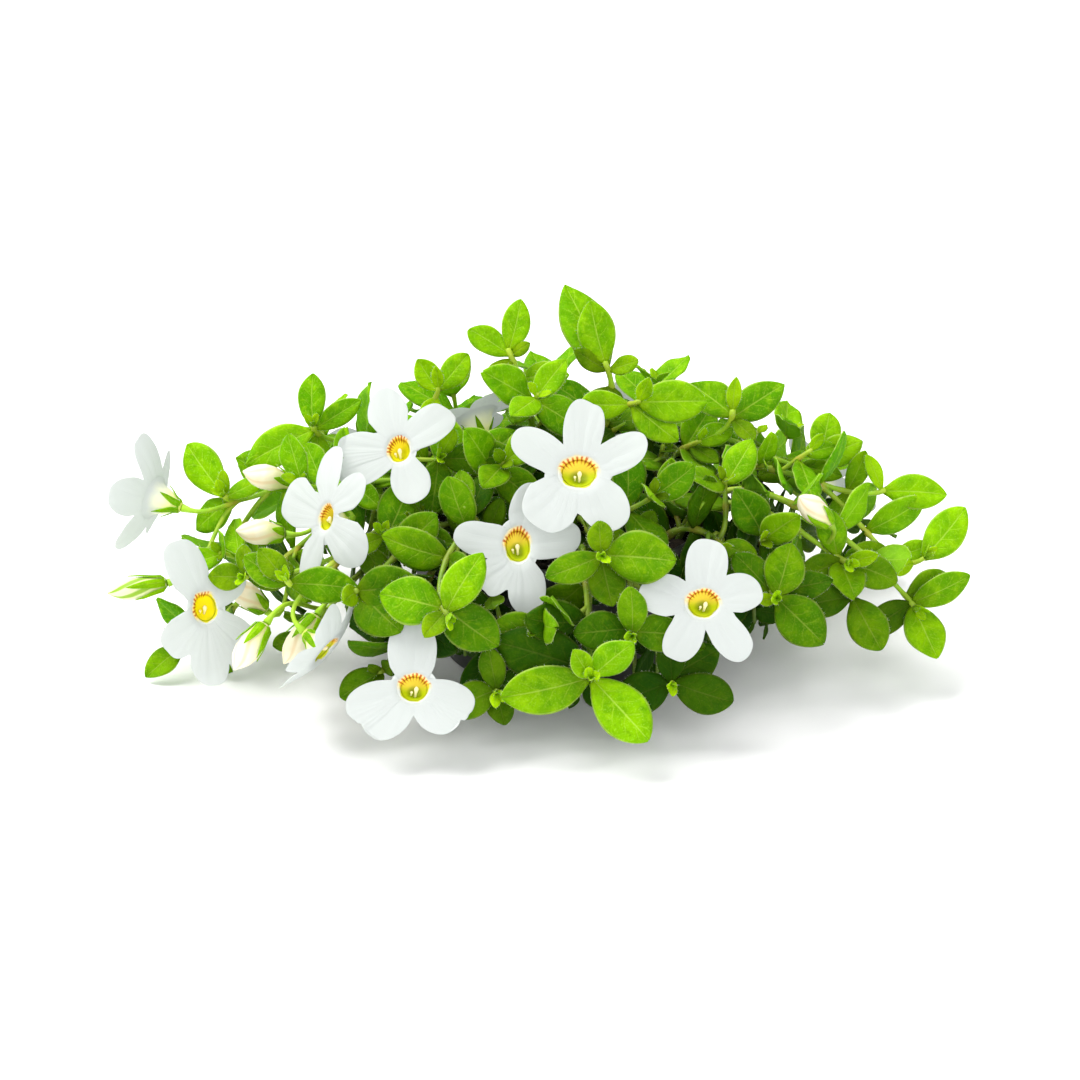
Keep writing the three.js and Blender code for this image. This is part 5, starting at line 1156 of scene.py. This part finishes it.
def stem_material():
    made, t = new_material("Stem")
    _, young, node, lit = tones(t)
    colour = paint(blend(step(noise(t, 500, 2.0), 0.3, 0.7), shade(126, 172, 24), shade(166, 190, 48)),
                   (young, (156, 208, 36)),
                   (node * 0.7, (170, 118, 52)),
                   # painted shade: stems that get little light turn dark
                   (step(lit, 0.15, 0.95, 0.94, 0.0), (24, 44, 4)))
    return surface(made, Base_Color=colour, Roughness=0.5, Specular_IOR_Level=0.35,
                   Normal=bump(noise(t, 2500), 0.05, 0.5))


def hair_material():
    made, _ = new_material("Fuzz")
    pale = (0.86, 0.92, 0.76)
    return surface(made, pale, 0.35, Base_Color=pale, Roughness=0.5, Specular_IOR_Level=0.3)


def bloom_colour(t, gold=None):
    """The bloom's colours over its face, by distance and angle from its middle, and that distance."""
    x, y = ((k - 0.5) * (FACE_MAP_SIZE / THROAT_SCALE) for k in plane_uv(t))
    angle = y.math("ARCTAN2", x)
    wavy = (angle * 5.0 + noise(t, 160) * 6.0).math("COSINE")
    far = (x * x + y * y).math("SQRT") + (noise(t, 700, 2.0) - 0.5) * 0.9 + wavy * 0.10
    white = shade(*PETAL_WHITE)
    upper = step(y, -0.8, 1.5)
    colour = blend(upper, shade(190, 208, 6), shade(250, 222, 74))
    # painted shade: the bottom of the cup is darker green, except in golden cups
    deep = step(x * x + (y + 0.7).math("POWER", 2.0), 0.1, 3.8, 0.70, 0.0)
    if gold is not None:
        colour = paint(colour, (gold, (255, 240, 20)))
        deep = deep * (1.0 - gold)
    colour = paint(colour, (deep, (104, 130, 0)))
    lip = blend(upper, shade(206, 206, 44), shade(242, 184, 48))
    colour = blend(step(far, 2.4, 2.9, 0.0, 0.60), colour, lip)
    colour = blend(step(far, 2.92, 3.2), colour, blend(upper, white, shade(250, 222, 140)))
    colour = blend(step(far, 3.15, 3.9), colour, white)
    bars = stripes(angle * (24 / (2 * math.pi)) + noise(t, 1300, 1.0) * 0.5 + 12.0)
    streak = step(bars - step(far, 2.0, 2.9) * 0.10, 0.07, 0.20, 1.0, 0.0)
    end = far - noise(t, 520, 1.0) * 1.3
    window = step(far, 1.8, 2.7) * step(end, 2.65, 3.0, 1.0, 0.0)
    return paint(colour, (streak * window * step(y, 0.5, 1.5) * 0.9, (190, 84, 8))), far


def petal_material():
    made, t = new_material("Petal")
    colour, far = bloom_colour(t)
    reach, across, back, tube = tones(t)
    fan = stripes(across * 9.0 + noise(t, 300, 2.0) * 0.7)
    vein = step(fan, 0.02, 0.12, 1.0, 0.0) * step(reach, 0.96, 0.5)
    outside = blend(step(far, 0.8, 3.0), shade(220, 226, 112), shade(240, 240, 206))
    outside = paint(outside, (step(far, 2.0, 4.2), PETAL_WHITE))
    behind = back.math("MAXIMUM", tube)
    colour = blend(behind, paint(colour, (vein * 0.12, (214, 218, 222))), outside)
    # Painted light: the petals glow a little in their own colour, twice as much on their backs and tube
    return surface(made, colour, 0.42, Base_Color=colour, Roughness=0.55, Specular_IOR_Level=0.2,
                   Normal=bump(noise(t, 1800) * 0.3 - vein, 0.06, 0.35), Emission_Color=colour,
                   Emission_Strength=step(behind, 0.0, 1.0, 0.17, 0.34))


def throat_material():
    made, t = new_material("Throat")
    gold, _, stamen, outside = tones(t)
    colour = paint(bloom_colour(t, gold)[0], (outside, (226, 230, 150)), (stamen, (250, 240, 190)))
    return surface(made, colour, 0.15, Base_Color=colour, Roughness=0.45, Specular_IOR_Level=0.25,
                   Normal=bump(noise(t, 2600), 0.06, 0.4))


def bud_material():
    made, t = new_material("Bud")
    reach, fold, _, green = tones(t)
    colour = paint(blend(step(reach, 0.05, 0.62), shade(212, 222, 120), shade(254, 246, 222)),
                   (step(noise(t, 420, 3.0), 0.45, 0.70, 0.0, 0.45), (250, 230, 198)),
                   (step(fold, 0.35, 0.83, 0.0, 0.70), (240, 214, 170)),
                   (green * 0.5, (226, 234, 170)),
                   (green * step(fold, 0.22, 0.62), (150, 190, 50)))
    return surface(made, colour, 0.25, Base_Color=colour, Roughness=0.5, Specular_IOR_Level=0.3,
                   Sheen_Weight=0.2, Normal=bump(noise(t, 1600), 0.08, 0.4))


def soil_material():
    made, t = new_material("Soil")
    grain = noise(t, 900, 6.0, 0.7)
    colour = blend(step(grain, 0.3, 0.7), shade(14, 11, 6), shade(40, 32, 20))
    return surface(made, Base_Color=colour, Roughness=0.95, Specular_IOR_Level=0.2,
                   Normal=bump(grain, 0.8, 0.9))


def pot_material():
    made, t = new_material("Pot")
    grain, scuff = noise(t, 1200, 4.0, 0.6), noise(t, 90, 3.0, 0.6)
    colour = blend(step(scuff, 0.45, 0.75), shade(30, 32, 28), shade(48, 50, 44))
    return surface(made, Base_Color=colour, Roughness=step(scuff, 0.3, 0.7, 0.42, 0.62),
                   Specular_IOR_Level=0.45, Normal=bump(grain, 0.10, 0.35))


LEAF, STEM, FUZZ = leaf_material(), stem_material(), hair_material()
PETAL, THROAT, BUD = petal_material(), throat_material(), bud_material()
SOIL, POT = soil_material(), pot_material()


def stem_tube(shape, path, joints, main):
    """A stem with a swelling at each leaf pair; joints are lengths along it."""
    curve = path["curve"]
    run = path_run(curve)
    steps = max(4, int(run[-1] / (1.3 if main else 1.0)))
    marks = [time_at(run, run[-1] * k / steps) if k < steps else 1.0 for k in range(steps + 1)]
    points = np.array([bezier(curve, m) for m in marks])
    where = run[-1] * np.arange(steps + 1) / steps
    swell = np.zeros(steps + 1)
    for j in joints:
        swell = np.maximum(swell, np.exp(-((where - j) / 0.9) ** 2))
    slim = 1 - 0.35 * (where / run[-1]) ** 2
    if "stalk" in path["name"]:
        slim = 1 + 0.9 * np.exp(-((run[-1] - where) / 0.8) ** 2)
        points[-1] += 0.5 * (points[-1] - points[-2]) / np.linalg.norm(points[-1] - points[-2])
    radii = path["radius"] * 0.82 * slim * (1 + 0.45 * swell)
    tone = np.full((steps + 1, 4), 0.5)
    tone[:, 1] = np.clip((where / run[-1] - 0.5) * 1.4, 0, 1)
    tone[:, 2] = swell * (1 - 0.6 * where / run[-1])
    # The fourth tone sets the stem's painted shade: darker deep in the mound and in the front part, under the
    # front shoots
    front = np.clip((-4 - points[:, 1]) / 18, 0, 1) * np.clip((points[:, 0] + 42) / 6, 0, 1)
    tone[:, 3] = (daylight(points) - 0.25) / 0.75 * (1 - 0.45 * front)
    add_tube(shape, points, radii, tone, 9, 2)
    if main or joints:
        n = int(run[-1] * 5)
        k = rng.integers(0, steps, n)
        ways, a, b = tube_frames(points)
        q = rng.uniform(0, 6.283, n)
        out = np.cos(q)[:, None] * a[k] + np.sin(q)[:, None] * b[k]
        f = rng.uniform(0, 1, n)[:, None]
        roots = points[k] * (1 - f) + points[k + 1] * f + out * (radii[k] * 0.95)[:, None]
        keep = roots[:, 2] > SOIL_TOP + 1
        add_hairs(shape, roots[keep], (out + 0.2 * ways[k])[keep], rng.uniform(0.3, 0.6, n)[keep])


def tube_girth(a):
    """A bloom tube's outer radius by the distance from its foot."""
    radii, heights = zip(*TUBE_OUTSIDE)
    return np.interp(a - TUBE_LENGTH - 0.1, heights[1:], radii[1:]) * THROAT_SCALE


def bud_girth(b, a):
    """A bud's radius by the distance from its foot."""
    places, radii = zip(*BUD_OUTSIDE)
    return np.interp(a / b["size"], places, radii) * BUD_RADIUS * (0.86 if b["name"] == GREEN_BUD else 1.0)


def sepals(shape, part, girth, size, width, flare):
    """Five green sepals that lie along a tube or a bud and part from it at their tips."""
    side, up = (np.array(way) for way in bloom_axes(part["facing"]))
    base, facing = np.array(part["base"]), np.array(part["facing"])
    turn = rng.uniform(0, 2 * math.pi)
    rows, cols, hairs = 15, 9, 16
    u, v = np.linspace(0, 1, rows)[:, None], np.linspace(-1, 1, cols)[None, :]
    for i in range(5):
        reach = size * rng.uniform(0.86, 1.08)
        half = np.maximum(outline(np.clip(u, 0.12, 0.9999), 0.30, 0.80), 0.05) * width / 2
        along = u * reach - 0.3
        seat = np.sqrt(np.clip((along + 0.42) / 0.9, 0.12, 1))
        parting = flare * rng.uniform(0.5, 1.3) * np.clip(u - 0.45, 0, 1) ** 2 * reach
        out = (girth(np.maximum(along, 0)) + 0.20) * seat + parting
        angle = turn + i * 2 * math.pi / 5 + v * half / np.maximum(out, 0.55)
        ridge = 0.10 * np.exp(-(v / 0.22) ** 2)
        thick = 0.10 * np.sqrt(1 - 0.9 * v ** 4) * (1 - 0.5 * u)

        def place(h):
            away = np.cos(angle)[..., None] * side + np.sin(angle)[..., None] * up
            return base + along[..., None] * facing + (out + h)[..., None] * away
        upper = place(thick + ridge)
        uv = np.stack([0.25 + 0.75 * u * np.ones_like(v), 0.5 + 0.5 * v * np.ones_like(u)], -1)
        tone = np.zeros((rows, cols, 4))
        tone[..., 0], tone[..., 1], tone[..., 3] = rng.uniform(0, 1), 0.25, 1
        add_sheet(shape, upper, place(-thick), uv, tone)
        k, f = rng.integers(1, rows - 1, hairs), rng.uniform(0, 1, hairs)[:, None]
        edge = rng.integers(0, 2, hairs) * (cols - 1)
        roots = upper[k, edge] * f + upper[k - 1, edge] * (1 - f)
        away = roots - base - ((roots - base) @ facing)[:, None] * facing
        ways = away + rng.normal(0, 0.4, (hairs, 3)) + 0.5 * facing
        add_hairs(shape, roots, ways, rng.uniform(0.15, 0.35, hairs))


def finish_leaves(plant):
    """How fine, young and lit each leaf is."""
    for i, (b, lit) in enumerate(zip(plant.leaves, find_light(plant))):
        head = i < plant.heads
        if head:
            lit *= HEAD_LIGHT.get(b["shoot"], 1.0) * rng.uniform(0.82, 1.0)
        else:  # these stand in the shade of the front shoots
            lit *= 1 - 0.50 * min(1, max(0, (-4 - b["centre"][1]) / 18))
        young = min(1.0, max(0.0, (10.0 - b["size"]) / 7.0)) * 0.8 + 0.15 * head
        rows, cols, hairs = (24, 15, 60) if head else (18, 11, 36) if i < plant.core else (15, 9, 24)
        b["finish"] = (rows, cols, hairs, min(1.0, young), lit)


def build_stems(plant):
    """Each stem with its side shoots, stalks, leaves and sepals as one piece."""
    finish_leaves(plant)
    for name, *_ in STEMS:
        shape = Shape()
        own = [b for b in plant.leaves if b["owner"] == name]
        for path in plant.paths.values():
            if path["owner"] == name:
                run, marks = path_run(path["curve"]), curve_marks(path["curve"])
                gaps = [[length(sub(b["base"], mark)) for mark in marks] for b in own]
                joints = [run[gap.index(min(gap))] for gap in gaps if min(gap) < 0.6]
                stem_tube(shape, path, joints, path["name"] == name)
                if "stalk" not in path["name"]:
                    tip_leaves(shape, plant, path)
        for b in own:
            add_leaf(shape, b, *b["finish"])
        for c in plant.corollas:
            if c["stem"] == name:
                sepals(shape, c, tube_girth, 4.3, 1.35, 0.30)
        for b in plant.buds:
            if b["stem"] == name:
                share, flare = SEPAL_SHARE.get(b["name"], 0.50), 0.10 if b["name"] == GREEN_BUD else 0.18
                sepals(shape, b, partial(bud_girth, b), b["size"] * share, 1.7, flare)
        shape.piece("sprig_" + name[-2:], [LEAF, FUZZ, STEM], "foliage", name)


def tip_leaves(shape, plant, path):
    """The smallest leaves, still closed round the end of a shoot, unless a grown leaf lies right over it."""
    end, ahead = path["curve"][3], bezier_tangent(path["curve"], 1.0)
    for b in plant.leaves:
        for further in (1.0, 2.4):
            u, v, h = local(b, on(end, ahead, further))
            if u > 0.22 and near_face(b, u, v, h, 1.5):
                return
    around = [b for b in plant.leaves
              if length(sub(b["centre"], end)) < b["size"] + 5 and length(sub(b["base"], end)) > 1.5]
    name, (side, other) = path["name"], shoot_frame(ahead)
    turn = rng.uniform(0, 360)
    for k, (tilt, grown) in enumerate(((16, 2.2), (16, 2.2), (34, 3.2), (34, 3.2))):
        out = swing(side, other, rad(turn + 90 * k + 180 * (k % 2)))
        size = grown * rng.uniform(0.9, 1.15)
        along = swing(ahead, out, rad(tilt))
        blade = make_blade(name, end, along, mul(out, -1), size, size * 0.55, -0.1, 0.4, SMALL_STATIONS)
        low, high = (on(end, blade["along"], reach) for reach in (size * 0.25, size))
        if not any(pierces(b, low, high, 0.3) for b in around):
            add_leaf(shape, blade, 9, 7, 8, 1.0)


def lobe_side(width, gap):
    """Where a lobe's outline leaves its neighbour: the share of its length where it is gap degrees wide."""
    q = np.linspace(0.18, 0.97, 300)
    angle = np.degrees(np.arcsin(np.clip(width * outline(q, LOBE_A, LOBE_B) / q, 0, 1)))
    wide = q[angle >= gap]
    return wide.max() if len(wide) else 0.30


def limb(r):
    """How far the face stands in front of the mouth's plane, by distance from the middle."""
    return 0.10 * r - 1.4 * np.clip((4.6 - r / THROAT_SCALE) / 2.6, 0, 1) ** 2


def mouth_shape(c, x, y, near):
    """The mouth drawn out of round into the bloom's own shape; near is 1 at the mouth and 0 on the lobes."""
    wide, tall = MOUTHS.get(c["name"], (1.0, 1.0))
    return x * (1 + (wide - 1) * near), y * (1 + (tall - 1) * near)


def face_map(c, x, y):
    """The bloom face's place in the UV map, turned so that its streaks stand where the bloom has them."""
    q = -rad(STREAKS_TURNED.get(c["name"], 0.0))
    return np.stack([0.5 + (x * math.cos(q) - y * math.sin(q)) / FACE_MAP_SIZE,
                     0.5 + (x * math.sin(q) + y * math.cos(q)) / FACE_MAP_SIZE], -1)


def in_bloom(c, x, y, z):
    """Points given by their distances to a bloom's own right, up and forward."""
    side, up, facing = (np.array(way) for way in (*bloom_axes(c["facing"]), c["facing"]))
    return np.array(c["place"]) + x[..., None] * side + y[..., None] * up + z[..., None] * facing


def turned_in_bloom(c, profile, sides, near):
    """A form turned round a bloom's middle and drawn out of round like its mouth: points, UVs and faces."""
    points, faces = turned([(r * THROAT_SCALE, h) for r, h in profile], sides)
    x, y, z = points.T
    z = z - c["reflex"] * (x ** 2 + y ** 2) / c["radius"]
    return in_bloom(c, *mouth_shape(c, x, y, near(z)), z), face_map(c, x, y), faces


def face_rim(c, steps):
    """The face's rim, lobe by lobe: its reach, its angle there and at the mouth, the lobe's lift, the reach
    at which the lobes part, the place across the lobe from -1 to 1, and the lobe's length."""
    lobes, radius, rim = c["lobes"], c["radius"], []
    for i, (angle, width, far) in enumerate(lobes):
        ahead, behind = (lobes[(i + 1) % 5][0] - angle) % 360 / 2, (angle - lobes[i - 1][0]) % 360 / 2
        width = width / far
        waves = [(rng.uniform(0.004, 0.014), k, rng.uniform(0, 6.28)) for k in (2.4, 3.7, 5.2)]
        dent, dent_at = rng.uniform(-0.01, 0.045), rng.uniform(-0.45, 0.45)
        dent_wide, skew, lift = rng.uniform(0.22, 0.36), rng.uniform(-3.5, 3.5), rng.uniform(-0.06, 0.10)
        notch = {1: lobe_side(width, ahead), -1: lobe_side(width, behind)}
        before = lobe_side(lobes[i - 1][1] / lobes[i - 1][2], behind) * lobes[i - 1][2]
        for x in np.linspace(-1, 1, steps + 1)[:-1]:
            gap, low = (ahead, notch[1]) if x > 0 else (behind, notch[-1])
            q = low + (1 - low) * (1 - x * x) ** 0.75
            wide = math.degrees(math.asin(min(1, width * outline(min(q, 0.99999), LOBE_A, LOBE_B) / q)))
            if x == -1:
                q, wide = (notch[-1] * far + before) / 2 / far, gap
            uneven = sum(a * math.sin(k * x + p) for a, k, p in waves)
            uneven -= dent * math.exp(-((x - dent_at) / dent_wide) ** 2)
            rim.append((q * far * radius * (1 + uneven * (1 - x ** 4)),
                        angle + math.copysign(min(wide, gap), x) + skew * (1 - x * x), angle + x * gap, lift,
                        max(notch.values()) * far * radius, x, far * radius))
    return np.array(list(zip(*rim)))[:, None]


def build_bloom(c):
    """A bloom's five lobes and its tube."""
    shape, steps, rows = Shape(), 34, 24
    reach, turn, start, lift, share, across, tip = face_rim(c, steps)
    s = (1 - (1 - np.linspace(0, 1, rows)) ** 1.5)[:, None]
    r = LIMB_START + (reach - LIMB_START) * s
    angle = np.radians(start + (turn - start) * s ** 1.15)
    free = np.clip((r - share) / (tip - share), 0, 1) ** 1.3
    phase = rng.uniform(0, 6.28)
    h = limb(r) - c["reflex"] * r * r / c["radius"] + lift * c["radius"] * free
    lobe = np.repeat(np.arange(5), steps)[None]
    h = h + free * (0.35 * np.sin(across * 3.0 + phase + 1.9 * lobe) - rng.uniform(0.1, 0.6) * across ** 2)
    h = h - 0.10 * np.exp(-(across / 0.16) ** 2) * np.sin(math.pi * s) + 0.03 * np.sin(across * 16) * s
    thick = 0.09 * np.sqrt(np.clip(1 - s ** 6, 0.02, 1)) * np.ones_like(r)
    x, y = r * np.cos(angle), r * np.sin(angle)
    tone = np.zeros((*r.shape, 4))
    tone[..., 0], tone[..., 1] = s, 0.5 + 0.5 * across
    drawn = mouth_shape(c, x, y, np.clip((6.5 - r) / 2.5, 0, 1))
    upper, lower = in_bloom(c, *drawn, h + thick), in_bloom(c, *drawn, h - thick)
    add_sheet(shape, upper, lower, face_map(c, x, y), tone, True)
    tube = TUBE_OUTSIDE + TUBE_INSIDE
    points, uv, faces = turned_in_bloom(c, tube, 36, lambda z: np.clip((z + 5) / 3, 0, 1))
    shape.add(points, uv, (0, 0, 0, 1), faces)
    shape.piece(c["name"] + "_petals", [PETAL], "petal", c["name"])


def build_throat(c):
    """The cup in a bloom's tube, with its two pale stamens."""
    shape, sides = Shape(), 48
    rim = [(r, limb(r * THROAT_SCALE) + k) for r, k in THROAT_RIM]
    points, uv, faces = turned_in_bloom(c, [*THROAT_OUTSIDE, *rim, *THROAT_INSIDE], sides, lambda z: 1)
    tone = np.zeros((len(points), 4))
    tone[:, 0] = GOLDEN.get(c["name"], 0.0)
    tone[:len(THROAT_OUTSIDE) * sides, 3] = 1
    shape.add(points, uv, tone, faces)
    lean = rng.uniform(-0.5, 0.5)
    for foot, head, thin, fat in (((0.1, -1.3, -2.2), (0.35 + lean, 0.35, -0.5), 0.22, 0.40),
                                  ((-0.6, -1.0, -2.2), (-0.5 + lean, -0.3, -1.1), 0.14, 0.26)):
        foot, head = in_bloom(c, *np.array([foot, head]).T)
        bend = np.array(c["facing"]) * 0.3
        stalk = [foot + (head - foot) * f + bend * math.sin(math.pi * f)
                 for f in (0, 0.25, 0.45, 0.6, 0.75, 0.88, 1.0)]
        radii = [thin, thin, thin * 1.1, fat * 0.8, fat, fat * 0.85, fat * 0.4]
        add_tube(shape, stalk, radii, (0, 0, 1, 0), 10)
    number = c["name"][-2:]
    shape.piece(f"bloom_{number}_throat", [THROAT], "throat", f"throat_{number}")


def build_bud(b):
    """A bud, whose petals are folded round each other in a twist."""
    shape, n, sides = Shape(), 34, 72
    t = np.linspace(0, 1, n)
    body = bud_girth(b, t * b["size"])
    radii = np.convolve(np.pad(body, 1, mode="edge"), (0.25, 0.5, 0.25), "valid")
    fold = np.sqrt((np.sin(2.5 * (circle(sides)[None, :] + 1.6 * t[:, None])) ** 2 + 0.03) / 1.03)
    sections = 1 - 0.13 * np.clip((t[:, None] - 0.3) / 0.4, 0, 1) * (1 - fold)
    points = np.array(b["base"]) + np.array(b["facing"]) * b["size"] * t[:, None]
    tone = np.zeros((n, 4))
    tone[:, 0], tone[:, 3] = t, b["name"] == GREEN_BUD
    add_tube(shape, points, radii, tone, sides, 0, sections)
    shape.tones[-1] = shape.tones[-1].copy()
    shape.tones[-1][:n * sides, 1] = (1 - fold).ravel()
    shape.piece(b["name"] + "_petals", [BUD], "bud", b["name"])


def build_soil():
    """Lumpy soil in the pot, with loose crumbs on it."""
    shape, rings, sides = Shape(), 40, 120
    outer, foot = RIM_RADIUS - RIM_STEP - WALL - 0.4, pot_radius(4) - WALL - 0.3
    r = np.linspace(0, 1, rings + 1)[1:, None] * outer
    q = circle(sides)[None, :]
    lump = np.zeros((rings, sides))
    for _ in range(9):
        high, close = rng.uniform(0.12, 0.3), rng.uniform(0.25, 1.1)
        lump += high * np.sin(close * r * np.cos(q + rng.uniform(0, 6.3)) + rng.uniform(0, 6.3))
    lump += rng.uniform(-0.35, 0.35, (rings, sides))
    z = SOIL_TOP - 0.2 + np.clip(lump, -1.2, 1.3)
    top = np.stack([r * np.cos(q), r * np.sin(q), z], -1).reshape(-1, 3)
    wall = np.stack([foot * np.cos(q[0]), foot * np.sin(q[0]), np.full(sides, 2.2)], -1)
    points = np.concatenate([top, wall, [(0, 0, SOIL_TOP), (0, 0, 2.2)]])
    last, middle = rings * sides, (rings + 1) * sides
    round_pairs = [(j, (j + 1) % sides) for j in range(sides)]
    faces = [(middle, j, k) for j, k in round_pairs]
    for low in range(0, last, sides):
        faces += [(low + j, low + sides + j, low + sides + k, low + k) for j, k in round_pairs]
    faces += [(last + k, last + j, middle + 1) for j, k in round_pairs]
    shape.add(points, 0.5 + points[:, :2] / 80, (0.5, 0, 0, 0), faces)
    for _ in range(420):
        a, d = rng.uniform(0, 6.283), outer * math.sqrt(rng.uniform(0, 0.94))
        size = rng.uniform(0.3, 0.95)
        p, faces = turned([(0, -0.9), (0.7, -0.6), (1.0, 0), (0.75, 0.6), (0, 0.85)], 6)
        p = p * size * rng.uniform(0.75, 1.25, (len(p), 1))
        shape.add(p + (d * math.cos(a), d * math.sin(a), SOIL_TOP + 0.25), (0.5, 0.5), (0.5, 0, 0, 0), faces)
    shape.piece("soil_bed", [SOIL], "soil", "soil")


def build_pot():
    """A round pot with a rolled rim band and a foot ring."""
    shape, rim, foot = Shape(), RIM_RADIUS, BASE_RADIUS
    inner, low, top = rim - RIM_STEP - WALL, POT_HEIGHT - RIM_BAND, POT_HEIGHT
    outside = [(0, 0.5), (foot - 2.4, 0.5), (foot - 2.0, 0.1), (foot - 0.9, 0.0), (foot - 0.2, 0.35),
               (foot + 0.1, 1.0)]
    outside += [(pot_radius(z), z) for z in np.linspace(2.5, low - 0.4, 12)]
    outside += [(rim - 0.5, low), (rim - 0.1, low + 0.35), (rim, low + 0.9), (rim, top - 0.9),
                (rim - 0.25, top - 0.3), (rim - 0.8, top)]
    inside = [(inner + 0.8, top), (inner + 0.2, top - 0.3), (inner, top - 0.9)]
    inside += [(pot_radius(z) - WALL, z) for z in np.linspace(low - 1, 3.0, 8)]
    inside += [(foot - WALL - 0.6, WALL + 0.1), (0, WALL)]
    points, faces = turned(outside + inside, 96)
    shape.add(points, 0.5 + points[:, :2] / 80, (0.5, 0, 0, 0), faces)
    shape.piece("pot_shell", [POT], "pot", "pot")


plant = grow()
build_stems(plant)
for corolla in plant.corollas:
    build_bloom(corolla)
    build_throat(corolla)
for bud in plant.buds:
    build_bud(bud)
build_soil()
build_pot()


def add_object(name, data, at):
    """An object with this data, in the scene at a point."""
    thing = bpy.data.objects.new(name, data)
    thing.location = at
    bpy.context.scene.collection.objects.link(thing)
    return thing


def build_floor():
    mesh = bpy.data.meshes.new("floor")
    mesh.from_pydata([(-4, -4, 0), (4, -4, 0), (4, 4, 0), (-4, 4, 0)], [], [(0, 1, 2, 3)])
    made, _ = new_material("Floor")
    mesh.materials.append(surface(made, Base_Color=(0.93, 0.93, 0.94), Roughness=0.9, Specular_IOR_Level=0.1))
    floor = add_object("floor", mesh, (0, 0, 0))


def light_scene():
    """A white world, a warm key light and a wide fill light that face the plant."""
    world = bpy.data.worlds.new("Studio")
    bpy.context.scene.world = world
    world.use_nodes = True
    set_inputs(world.node_tree.nodes["Background"], Color=(1.0, 1.0, 1.0), Strength=0.74)
    for name, at, size, power, colour in (("key", (-0.75, 0.20, 1.35), 1.3, 36.0, (1.0, 0.99, 0.97)),
                                          ("fill", (0.4, -1.5, 0.8), 1.6, 17.0, (0.99, 1.0, 1.0))):
        light = bpy.data.lights.new(name, "AREA")
        light.shape, light.size, light.energy, light.color = "DISK", size, power, colour
        lamp = add_object(name, light, at)
        lamp.rotation_euler = (Vector((0, 0, 0.02)) - lamp.location).to_track_quat("-Z", "Y").to_euler()


def place_camera():
    """The photo's view: 25 degrees down, from 0.7 m."""
    camera = bpy.data.cameras.new("camera")
    camera.sensor_width, camera.lens = 36, 129.6
    camera.clip_start, camera.clip_end = 0.01, 50
    tilt = rad(25)
    eye = add_object("camera", camera, (-0.0036, -0.7 * math.cos(tilt), 0.0199 + 0.7 * math.sin(tilt)))
    eye.rotation_euler = (math.pi / 2 - tilt, 0, 0)
    bpy.context.scene.camera = eye
    bpy.context.scene.view_settings.view_transform = "Standard"


build_floor()
light_scene()
place_camera()
